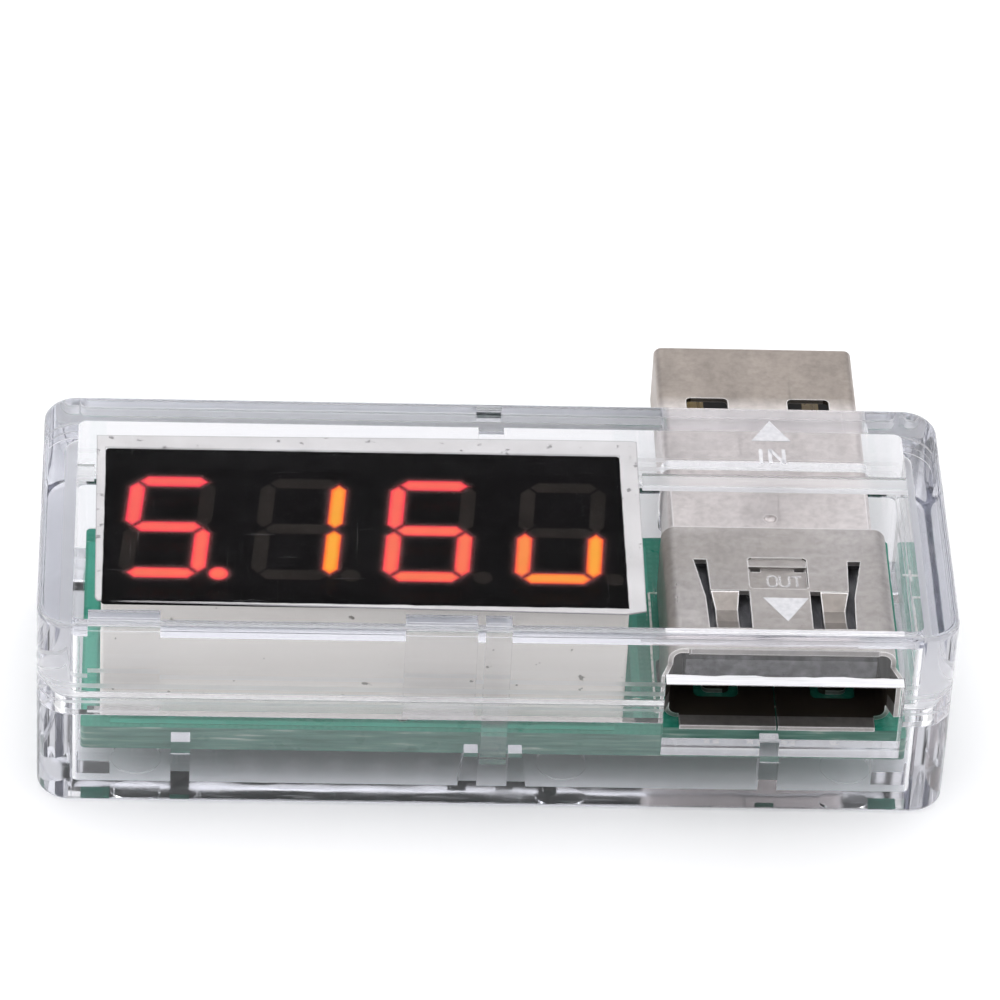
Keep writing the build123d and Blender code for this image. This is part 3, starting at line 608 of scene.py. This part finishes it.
# White ink printed on the green mask through a screen: frames round the parts, a dot at
# the chip's first pin, and two polarity crosses. It is thin, and worn through in spots.
RESISTOR_COLUMNS = [-19.6, -17.0]
RESISTOR_Y = -1.15


def printed_frames():
    mesh = bmesh.new()
    line = 0.13
    ink = 0.012

    def frame_round(x, y, length, depth, low, high):
        corners = [(x - length / 2, y - depth / 2), (x + length / 2, y - depth / 2),
                   (x + length / 2, y + depth / 2), (x - length / 2, y + depth / 2)]
        for start, end in zip(corners, corners[1:] + corners[:1]):
            stroke(mesh, [start, end], line, low, high)

    low, high = UNDER - COPPER - ink, UNDER
    for node, gap in (("shunt_end_caps", 0.5), ("tank_capacitor_end_caps", 0.45),
                      ("microcontroller", 0.25), ("voltage_regulator", 0.25)):
        first, last = [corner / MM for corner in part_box(node)]
        frame_round((first.x + last.x) / 2, (first.y + last.y) / 2,
                    last.x - first.x + 2 * gap, last.y - first.y + 2 * gap, low, high)
    for x in RESISTOR_COLUMNS:
        frame_round(x, RESISTOR_Y, 2.3, 7.4, low, high)
    slab(mesh, circle(CHIP_LOW.x - 0.65, -2.5, 0.2), low, high)
    stroke(mesh, [(7.0, -3.9), (7.9, -3.9)], line, low, high)
    stroke(mesh, [(7.45, -4.35), (7.45, -3.45)], line, low, high)
    low, high = BOARD_HIGH.z, BOARD_HIGH.z + COPPER + ink
    frame_round(CONNECTOR_X, -1.5, 13.9, 9.2, low, high)
    stroke(mesh, [(23.3, 4.6), (23.3, 5.6)], line, low, high)
    stroke(mesh, [(22.8, 5.1), (23.8, 5.1)], line, low, high)
    material, tree, output = blank_material("white_ink")
    paint = plain_shader(tree, (0.86, 0.87, 0.84), 0.6)
    marked_colour = ramp(tree, noise(tree, 3000.0, 4.0), (0.34, (0.45, 0.60, 0.50)),
                (0.46, (0.86, 0.87, 0.84)))
    tree.links.new(marked_colour, paint.inputs["Base Color"])
    relief(tree, paint, noise(tree, 4000.0), 0.01)
    tree.links.new(paint.outputs[0], output.inputs[0])
    make_piece("printed_frames", mesh, material, "base")


printed_frames()


# The microcontroller and the regulator: black epoxy moulded round a lead frame, whose
# formed leads are tinned. They are soldered under the board.
def epoxy_finish():
    material, tree, output = blank_material("black_epoxy")
    resin = plain_shader(tree, (0.018, 0.018, 0.02), 0.55)
    shade = ramp(tree, noise(tree, 2600.0, 6.0), (0.35, (0.012, 0.012, 0.013)),
                 (0.62, (0.03, 0.03, 0.032)), (0.8, (0.075, 0.075, 0.08)))
    tree.links.new(shade, resin.inputs["Base Color"])
    sheen = ramp(tree, noise(tree, 700.0, 3.0), (0.3, 0.45), (0.7, 0.68))
    tree.links.new(sheen, resin.inputs["Roughness"])
    relief(tree, resin, noise(tree, 5000.0, 4.0), 0.03, 0.6)
    tree.links.new(resin.outputs[0], output.inputs[0])
    return material


epoxy = epoxy_finish()
finish_node("microcontroller", epoxy)
finish_node("voltage_regulator", epoxy)
finish_node("microcontroller_leads", tinned)
finish_node("regulator_leads", tinned)


# The shunt, resistors and capacitors: fired ceramic bodies between tinned end caps.
# The resistors' tops are glazed black, and the capacitors are bare tan ceramic.
def ceramic_finish(name, dark, light, rough, pits):
    material, tree, output = blank_material(name)
    body = plain_shader(tree, dark, rough, Coat_Weight=0.25, Coat_Roughness=0.2)
    speckle = ramp(tree, noise(tree, 3500.0, 6.0), (0.3, dark), (0.7, light))
    tree.links.new(speckle, body.inputs["Base Color"])
    gloss = ramp(tree, noise(tree, 1200.0, 3.0), (0.3, rough - 0.1), (0.7, rough + 0.15))
    tree.links.new(gloss, body.inputs["Roughness"])
    relief(tree, body, noise(tree, 4200.0, 5.0), pits, 0.5)
    tree.links.new(body.outputs[0], output.inputs[0])
    return material


glaze = ceramic_finish("black_glaze", (0.012, 0.012, 0.016), (0.035, 0.035, 0.045), 0.3, 0.01)
tan = ceramic_finish("tan_ceramic", (0.36, 0.24, 0.13), (0.52, 0.38, 0.24), 0.5, 0.03)
for name in ("shunt_resistor", "chip_resistors"):
    finish_node(name, glaze)
for name in ("tank_capacitor", "chip_capacitors"):
    finish_node(name, tan)
for name in ("shunt_end_caps", "tank_capacitor_end_caps", "chip_end_caps"):
    finish_node(name, solder)


# The display's housing: an off-white moulding with faint flow streaks and dust in its
# skin. Twelve tinned pins hold it on the board.
def housing_finish():
    material, tree, output = blank_material("off_white_moulding")
    plastic = plain_shader(tree, (0.94, 0.90, 0.85), 0.5)
    streaks = ramp(tree, noise(tree, 45.0, 5.0, (1, 1, 7)), (0.3, (0.91, 0.865, 0.81)),
                   (0.7, (0.96, 0.925, 0.88)))
    specks = ramp(tree, noise(tree, 1100.0, 3.0), (0.27, 1.0), (0.31, 0.0))
    colour = blend_colours(tree, specks, streaks, (0.30, 0.28, 0.25))
    tree.links.new(colour, plastic.inputs["Base Color"])
    sheen = ramp(tree, noise(tree, 300.0, 4.0), (0.3, 0.42), (0.7, 0.6))
    tree.links.new(sheen, plastic.inputs["Roughness"])
    relief(tree, plastic, noise(tree, 2500.0, 4.0), 0.015)
    tree.links.new(plastic.outputs[0], output.inputs[0])
    return material


finish_node("display_body", housing_finish())
finish_node("display_pins", tinned)


# The display's face: black paint, almost free of shine, with the bars left open in it.
# The unlit bars are filled with smoky resin that shows as a dark grey.
def painted_face():
    material, tree, output = blank_material("black_face_paint")
    paint = plain_shader(tree, (0.0025, 0.0022, 0.0025), 0.4, Specular_IOR_Level=0.03)
    shade = ramp(tree, noise(tree, 700.0, 4.0), (0.35, (0.0012, 0.001, 0.0012)),
                 (0.7, (0.0045, 0.004, 0.0045)))
    tree.links.new(shade, paint.inputs["Base Color"])
    sheen = ramp(tree, noise(tree, 1800.0, 3.0), (0.3, 0.3), (0.7, 0.5))
    tree.links.new(sheen, paint.inputs["Roughness"])
    relief(tree, paint, noise(tree, 3000.0, 3.0), 0.008)
    tree.links.new(paint.outputs[0], output.inputs[0])
    return material


def smoky_resin():
    material, tree, output = blank_material("smoky_resin")
    resin = plain_shader(tree, (0.022, 0.017, 0.017), 0.5, Specular_IOR_Level=0.04)
    shade = ramp(tree, noise(tree, 420.0, 4.0), (0.3, (0.013, 0.0105, 0.0095)),
                 (0.7, (0.021, 0.017, 0.0155)))
    tree.links.new(shade, resin.inputs["Base Color"])
    relief(tree, resin, noise(tree, 2600.0, 3.0), 0.02)
    tree.links.new(resin.outputs[0], output.inputs[0])
    return material


finish_node("display_face", painted_face())
finish_node("display_dark_segments", smoky_resin())


# The lit bars: red diffusing resin over the lamps, brightest along the middle of each
# bar. The digits with few bars lit are driven harder, and burn towards orange.
FACE_LOW, FACE_HIGH = [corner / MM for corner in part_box("display_face")]
FACE_TOP = FACE_HIGH.z
DIGIT_PITCH = 7.56
DIGIT_XS = [(FACE_LOW.x + FACE_HIGH.x) / 2 + (i - 1.5) * DIGIT_PITCH for i in range(4)]
DIGIT_DRIVE = [0.02, 0.72, 0.12, 0.66]


def top_outlines(node):
    """The upper outline of each loose solid of a CAD node, in mm and in order."""
    mesh = bmesh.new()
    mesh.from_mesh(nodes[node].data)
    bmesh.ops.remove_doubles(mesh, verts=mesh.verts, dist=1e-6)
    top = max(v.co.z for v in mesh.verts)
    lower = [v for v in mesh.verts if v.co.z < top - 1e-5]
    bmesh.ops.delete(mesh, geom=lower, context="VERTS")
    unseen = sorted(mesh.verts, key=lambda v: (v.co.x, v.co.y))
    outlines = []
    while unseen:
        group = {unseen[0]}
        todo = [unseen[0]]
        while todo:
            for edge in todo.pop().link_edges:
                for vertex in edge.verts:
                    if vertex not in group:
                        group.add(vertex)
                        todo.append(vertex)
        unseen = [v for v in unseen if v not in group]
        points = [(v.co.x / MM, v.co.y / MM) for v in group]
        middle = Vector((sum(p[0] for p in points), sum(p[1] for p in points))) / len(points)
        points.sort(key=lambda p: math.atan2(p[1] - middle.y, p[0] - middle.x))
        outlines.append(points)
    mesh.free()
    return outlines


def outset(outline, distance):
    """A convex outline moved outwards, or inwards for a negative distance."""
    moved = []
    count = len(outline)
    for i in range(count):
        here = Vector(outline[i])
        before = (here - Vector(outline[i - 1])).normalized()
        after = (Vector(outline[(i + 1) % count]) - here).normalized()
        normal = (Vector((before.y, -before.x)) + Vector((after.y, -after.x))).normalized()
        reach = distance / max(0.5, normal.dot(Vector((after.y, -after.x))))
        moved.append(tuple(here + normal * reach))
    return moved


def warmth(outline):
    """How orange a bar burns, from where it is in its digit."""
    x = sum(p[0] for p in outline) / len(outline)
    y = sum(p[1] for p in outline) / len(outline)
    centre = min(DIGIT_XS, key=lambda c: abs(c - x))
    driven = DIGIT_DRIVE[DIGIT_XS.index(centre)]
    return min(1.0, max(0.0, driven + 0.13 * (x - centre) * driven - 0.02 * y))


def ringed_bars(name, steps, material, filled):
    """Concentric rings on each lit bar, as (offset, height, glow), with a glow per ring."""
    mesh = bmesh.new()
    glow = mesh.verts.layers.float.new("glow")
    warm = mesh.verts.layers.float.new("warm")
    for outline in top_outlines("display_lit_segments"):
        rows = []
        for offset, height, share in steps:
            row = []
            for x, y in outset(outline, offset):
                vertex = mesh.verts.new(Vector((x, y, height)) * MM)
                vertex[glow] = share
                vertex[warm] = warmth(outline)
                row.append(vertex)
            rows.append(row)
        for low, high in zip(rows, rows[1:]):
            for i in range(len(low)):
                j = (i + 1) % len(low)
                mesh.faces.new((low[i], low[j], high[j], high[i]))
        if filled:
            mesh.faces.new(rows[-1])
            mesh.faces.new(rows[0][::-1])
    return make_piece(name, mesh, material, "base")


def attribute(tree, name):
    made = tree.nodes.new("ShaderNodeAttribute")
    made.attribute_name = name
    return made.outputs["Fac"]


def lit_resin():
    material, tree, output = blank_material("lit_resin")
    resin = plain_shader(tree, (0.13, 0.006, 0.008), 0.4, Emission_Strength=0.95,
                         Specular_IOR_Level=0.15)
    uneven = arithmetic(tree, "ADD", attribute(tree, "glow"),
                        arithmetic(tree, "MULTIPLY", noise(tree, 700.0, 3.0), 0.35))
    red = ramp(tree, uneven, (0.1, (0.72, 0.008, 0.03)), (0.5, (1.0, 0.035, 0.095)),
               (1.0, (1.0, 0.15, 0.12)))
    orange = ramp(tree, uneven, (0.1, (0.95, 0.03, 0.02)), (0.55, (1.0, 0.17, 0.012)),
                  (1.0, (1.0, 0.5, 0.03)))
    colour = blend_colours(tree, attribute(tree, "warm"), red, orange)
    tree.links.new(colour, resin.inputs["Emission Color"])
    smoked = ramp(tree, noise(tree, 900.0, 3.0), (0.3, (0.10, 0.004, 0.005)),
                  (0.7, (0.16, 0.008, 0.010)))
    tree.links.new(smoked, resin.inputs["Base Color"])
    relief(tree, resin, noise(tree, 2400.0, 3.0), 0.02)
    tree.links.new(resin.outputs[0], output.inputs[0])
    return material


def bar_glow():
    """The red light that spills on the paint round a lit bar and fades out."""
    material, tree, output = blank_material("red_spill")
    light = plain_shader(tree, (0.02, 0.0, 0.0), 0.5, Emission_Color=(1.0, 0.02, 0.03, 1))
    spill = arithmetic(tree, "MULTIPLY", attribute(tree, "glow"), attribute(tree, "glow"))
    strength = arithmetic(tree, "MULTIPLY", spill, 0.22)
    tree.links.new(strength, light.inputs["Emission Strength"])
    mix_shaders(tree, spill, add_node(tree, "BsdfTransparent"), light, output)
    return material


BAR_RINGS = [(0.0, FACE_TOP - 0.12, 0.0), (0.07, FACE_TOP + 0.002, 0.0),
             (-0.06, FACE_TOP + 0.007, 0.45), (-0.2, FACE_TOP + 0.009, 0.75),
             (-0.32, FACE_TOP + 0.01, 0.9)]
GLOW_RINGS = [(0.0, FACE_TOP + 0.006, 1.0), (0.12, FACE_TOP + 0.007, 0.7),
              (0.32, FACE_TOP + 0.008, 0.3), (0.65, FACE_TOP + 0.009, 0.0)]
lit_bars = ringed_bars("lit_bars", BAR_RINGS, lit_resin(), True)
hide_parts("display_lit_segments")
ringed_bars("bar_glow", GLOW_RINGS, bar_glow(), False)


# The protective film over the face: hand cut, clear over the digits, and hazy white on
# its border, where its glue has lifted off the housing.
def edge_share(tree, radius):
    """1 along the sharp edges of a part, over a radius in mm, and 0 on its flats."""
    eased = add_node(tree, "Bevel", Radius=radius * MM)
    eased.samples = 6
    geometry = tree.nodes.new("ShaderNodeNewGeometry")
    along = dot_product(tree, eased.outputs[0], geometry.outputs["Normal"])
    return ramp(tree, along, (0.86, 1.0), (0.985, 0.0))


def film_finish():
    material, tree, output = blank_material("cut_film")
    haze = plain_shader(tree, (0.66, 0.645, 0.635), 0.45, Specular_IOR_Level=0.2)
    creased = ramp(tree, noise(tree, 260.0, 5.0), (0.3, (0.60, 0.585, 0.58)),
                   (0.7, (0.74, 0.725, 0.72)))
    grit = ramp(tree, noise(tree, 1500.0, 4.0), (0.3, 1.0), (0.36, 0.0))
    dusty = blend_colours(tree, grit, creased, (0.30, 0.29, 0.29))
    rim = blend_colours(tree, edge_share(tree, 0.14), dusty, (0.33, 0.32, 0.33))
    tree.links.new(rim, haze.inputs["Base Color"])
    relief(tree, haze, noise(tree, 500.0, 4.0), 0.03)
    place = part_place(tree)
    beyond = []
    for axis, low, high in (("X", FACE_LOW.x, FACE_HIGH.x), ("Y", FACE_LOW.y, FACE_HIGH.y)):
        away = distance_from(tree, place[axis], (low + high) / 2)
        beyond.append(arithmetic(tree, "SUBTRACT", away, (high - low) / 2 * MM))
    edge = arithmetic(tree, "MAXIMUM", beyond[0], beyond[1])
    wander = arithmetic(tree, "MULTIPLY", noise(tree, 900.0, 3.0), 0.12 * MM)
    steep = arithmetic(tree, "MULTIPLY", arithmetic(tree, "ADD", edge, wander), 9000.0)
    share = ramp(tree, steep, (0.0, 0.0), (0.5, 0.84), (1.0, 0.9))
    see_through = add_node(tree, "BsdfTransparent", Color=(0.99, 0.99, 0.985, 1))
    mix_shaders(tree, share, see_through, haze, output)
    return material


finish_node("protective_film", film_finish())


# The plug and the socket: shells folded from nickel plated steel strip, with a fine
# grain along the strip, rub marks where they mate, and duller, warmer pressed areas.
SOCKET_LOW, SOCKET_HIGH = [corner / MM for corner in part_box("socket_shell")]
LIP_DEPTH = 1.05


def painted_socket_shade(tree):
    """1 on the socket's inner faces, which are painted dark as shade, and 0 elsewhere."""
    middle = (SOCKET_LOW + SOCKET_HIGH) / 2
    geometry = tree.nodes.new("ShaderNodeNewGeometry")
    place = tree.nodes.new("ShaderNodeTexCoord")
    from_middle = add_node(tree, "Mapping", Location=(-middle.x * MM, 0, -middle.z * MM),
                           Scale=(1, 0, 1))
    tree.links.new(place.outputs["Object"], from_middle.inputs["Vector"])
    facing = dot_product(tree, from_middle.outputs[0], geometry.outputs["Normal"])
    inward = arithmetic(tree, "LESS_THAN", facing, -0.2 * MM)
    point = part_place(tree)
    behind_lip = arithmetic(tree, "GREATER_THAN", point["Y"], (SOCKET_LOW.y + LIP_DEPTH) * MM)
    upper = arithmetic(tree, "GREATER_THAN", point["Z"], middle.z * MM)
    return arithmetic(tree, "MULTIPLY", inward, arithmetic(tree, "MAXIMUM", behind_lip, upper))


OUTER_SHADE_FROM = 16.0


def plated_steel(name, grain, colour, warm, outer_shade):
    """The plug's outer end is painted darker and warmer than its part under the roof, as
    painted shade.
    """
    material, tree, output = blank_material(name)
    metal = plain_shader(tree, colour, 0.35, Metallic=0.9)
    bright = ramp(tree, noise(tree, 160.0, 5.0), (0.3, warm), (0.68, colour))
    # Towards the plug's outer end the colour turns darker and warmer: painted shade, set
    # against the brighter part under the clear roof.
    beyond = arithmetic(tree, "SUBTRACT", part_place(tree)["Y"], OUTER_SHADE_FROM * MM)
    outside = ramp(tree, arithmetic(tree, "MULTIPLY", beyond, 800.0), (0.0, 0.0), (1.0, 1.0))
    outer_painted_shade = ramp(tree, noise(tree, 300.0, 6.0), (0.3, outer_shade),
                   (0.7, tuple(1.22 * share for share in outer_shade)))
    cloudy_and_shaded = blend_colours(tree, outside, bright, outer_painted_shade)
    fine = noise(tree, 80.0, 6.0, grain)
    streaked = ramp(tree, fine, (0.3, 0.86), (0.7, 1.0))
    grains = ramp(tree, noise(tree, 2600.0, 4.0), (0.3, 0.84), (0.62, 1.0))
    open_steel = multiply(tree, multiply(tree, cloudy_and_shaded, streaked), grains)
    # The sharp edges are painted pale: a painted highlight.
    edges = edge_share(tree, 0.15)
    marked_colour = blend_colours(tree, edges, open_steel, (0.95, 0.93, 0.92))
    # The socket's inner faces are painted dark brown: painted shade, since little light
    # reaches them.
    colour = blend_colours(tree, painted_socket_shade(tree), marked_colour, (0.11, 0.09, 0.07))
    tree.links.new(colour, metal.inputs["Base Color"])
    rubs = ramp(tree, noise(tree, 70.0, 4.0, (40, 2, 2)), (0.64, 0.0), (0.7, 1.0))
    dull = ramp(tree, noise(tree, 240.0, 4.0), (0.3, 0.36), (0.7, 0.52))
    rough = arithmetic(tree, "SUBTRACT", dull, arithmetic(tree, "MULTIPLY", rubs, 0.1))
    tree.links.new(rough, metal.inputs["Roughness"])
    height = arithmetic(tree, "ADD", fine, arithmetic(tree, "MULTIPLY", rubs, 0.5))
    relief(tree, metal, height, 0.01, 0.5)
    tree.links.new(metal.outputs[0], output.inputs[0])
    return material


# The last colour of each finish is the painted shade taken by the plug's outer end.
plug_steel = plated_steel("nickel_plated_plug", (12, 3, 12), (0.80, 0.75, 0.735),
                          (0.70, 0.65, 0.63), (0.37, 0.325, 0.295))
socket_steel = plated_steel("nickel_plated_socket", (3, 12, 12), (0.56, 0.53, 0.515),
                            (0.44, 0.41, 0.385), (0.45, 0.42, 0.40))
finish_node("plug_shell", plug_steel)
finish_node("socket_shell", socket_steel)
spring_steel = plated_steel("nickel_plated_springs", (12, 3, 12), (0.37, 0.34, 0.315),
                            (0.29, 0.26, 0.235), (0.37, 0.34, 0.315))
for name in ("socket_spring_left", "socket_spring_right"):
    finish_node(name, spring_steel)


# Four contacts in each connector: phosphor bronze strip with a thin flash of gold, worn
# paler along the line where the other half slides.
def gold_flash():
    material, tree, output = blank_material("gold_flash")
    # The gold is painted darker overall: painted shade, as the contacts sit in the dark inside
    # of the connectors.
    metal = plain_shader(tree, (0.52, 0.41, 0.22), 0.25, Metallic=1.0)
    marked_colour = ramp(tree, noise(tree, 400.0, 5.0, (3, 0.4, 1)), (0.35, (0.56, 0.43, 0.22)),
                (0.7, (0.46, 0.40, 0.30)))
    tree.links.new(marked_colour, metal.inputs["Base Color"])
    rough = ramp(tree, noise(tree, 900.0, 4.0, (4, 0.5, 1)), (0.3, 0.18), (0.7, 0.4))
    tree.links.new(rough, metal.inputs["Roughness"])
    relief(tree, metal, noise(tree, 1500.0, 3.0, (4, 0.5, 1)), 0.01)
    tree.links.new(metal.outputs[0], output.inputs[0])
    return material


def nylon_finish(name, shade, fleck):
    """Glass filled nylon: satin, with pale fibre flecks."""
    material, tree, output = blank_material(name)
    plastic = plain_shader(tree, shade, 0.45)
    flecks = ramp(tree, noise(tree, 1500.0, 5.0, (1, 0.3, 1)), (0.4, shade), (0.72, fleck))
    tree.links.new(flecks, plastic.inputs["Base Color"])
    sheen = ramp(tree, noise(tree, 600.0, 3.0), (0.3, 0.36), (0.7, 0.56))
    tree.links.new(sheen, plastic.inputs["Roughness"])
    relief(tree, plastic, noise(tree, 3200.0, 4.0), 0.012)
    tree.links.new(plastic.outputs[0], output.inputs[0])
    return material


gold = gold_flash()
finish_node("plug_insulator", nylon_finish("black_nylon", (0.010, 0.010, 0.011),
                                            (0.034, 0.033, 0.033)))
finish_node("socket_tongue", nylon_finish("grey_nylon", (0.042, 0.041, 0.048),
                                           (0.17, 0.17, 0.18)))
for name in ("plug_contacts", "socket_contacts"):
    finish_node(name, gold)


# The top shell: the same clear plastic as the bottom one, snapped over its lip. Frosted
# arrows and the word IN stand on its roof, and the word OUT, which is worn fainter.
finish_node("top_shell", clear)


def frosted_finish(name, cover):
    material, tree, output = blank_material(name)
    frost = plain_shader(tree, (0.80, 0.80, 0.83), 0.7, Alpha=cover)
    grains = ramp(tree, noise(tree, 3500.0, 5.0), (0.3, (0.68, 0.68, 0.72)),
                  (0.7, (0.86, 0.86, 0.89)))
    tree.links.new(grains, frost.inputs["Base Color"])
    relief(tree, frost, noise(tree, 6000.0, 3.0), 0.02, 0.6)
    tree.links.new(frost.outputs[0], output.inputs[0])
    return material


frosted = frosted_finish("frosted_mark", 0.62)
faint = frosted_finish("worn_mark", 0.3)
finish_node("direction_arrows", frosted)
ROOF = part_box("top_shell")[1].z / MM
ARROWS_LOW, ARROWS_HIGH = [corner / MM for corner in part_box("direction_arrows")]
MARK_X = (ARROWS_LOW.x + ARROWS_HIGH.x) / 2
MARK_HEIGHT = 0.03
IN_LINE = (5.15, 1.3, 0.22)
OUT_LINE = (-6.1, 0.95, 0.13)


def lettered(mesh, strokes, x, y, height, width):
    """One letter, from strokes given in shares of its height."""
    for points in strokes:
        stroke(mesh, [(x + px * height, y + py * height) for px, py in points], width,
               ROOF, ROOF + MARK_HEIGHT)


def direction_words():
    letter_i = [[(0, 0), (0, 1)]]
    letter_n = [[(0, 0), (0, 1)], [(0, 1), (0.62, 0)], [(0.62, 0), (0.62, 1)]]
    turns = [math.pi * i / 8 for i in range(9)]
    bowl = [(0.28 - 0.28 * math.cos(t), 0.28 - 0.28 * math.sin(t)) for t in turns]
    lid = [(0.28 + 0.28 * math.cos(t), 0.72 + 0.28 * math.sin(t)) for t in turns]
    letter_o = [[(0, 0.72)] + bowl + [(0.56, 0.72)], lid]
    letter_u = [[(0, 1)] + bowl + [(0.56, 1)]]
    letter_t = [[(0.28, 0), (0.28, 1)], [(0, 0.94), (0.56, 0.94)]]
    mesh = bmesh.new()
    lettered(mesh, letter_i, MARK_X - 0.68, *IN_LINE)
    lettered(mesh, letter_n, MARK_X - 0.14, *IN_LINE)
    make_piece("in_word", mesh, frosted, "cover")
    mesh = bmesh.new()
    lettered(mesh, letter_o, MARK_X - 0.96, *OUT_LINE)
    lettered(mesh, letter_u, MARK_X - 0.26, *OUT_LINE)
    lettered(mesh, letter_t, MARK_X + 0.44, *OUT_LINE)
    make_piece("out_word", mesh, faint, "cover")


direction_words()


# The mouth's head was sawn open after moulding. Its lower face stays rough and white,
# and shows through the polished front of the wall.
SAWN_HALF = 6.8
SAWN_Z = 9.515
SAWN_FRONT = -10.44
SAWN_BACK = -9.05
SAWN_SKIN = 0.02


def sawn_edge():
    material, tree, output = blank_material("sawn_polystyrene")
    rough = plain_shader(tree, (0.92, 0.91, 0.92), 0.75)
    marks = ramp(tree, noise(tree, 320.0, 6.0, (1, 12, 1)), (0.3, (0.80, 0.79, 0.80)),
                 (0.55, (0.98, 0.97, 0.98)))
    tree.links.new(marks, rough.inputs["Base Color"])
    relief(tree, rough, noise(tree, 900.0, 4.0, (1, 6, 1)), 0.04, 0.6)
    tree.links.new(rough.outputs[0], output.inputs[0])
    mesh = bmesh.new()
    steps = 24
    ragged = random.Random(4)
    start = CONNECTOR_X - SAWN_HALF
    front = [(start + 2 * SAWN_HALF * i / steps, SAWN_FRONT) for i in range(steps + 1)]
    back_edge = [(x, SAWN_BACK + ragged.uniform(-0.12, 0.1)) for x, _ in reversed(front)]
    slab(mesh, front + back_edge, SAWN_Z, SAWN_Z + SAWN_SKIN)
    make_piece("sawn_edge", mesh, material, "cover")


sawn_edge()
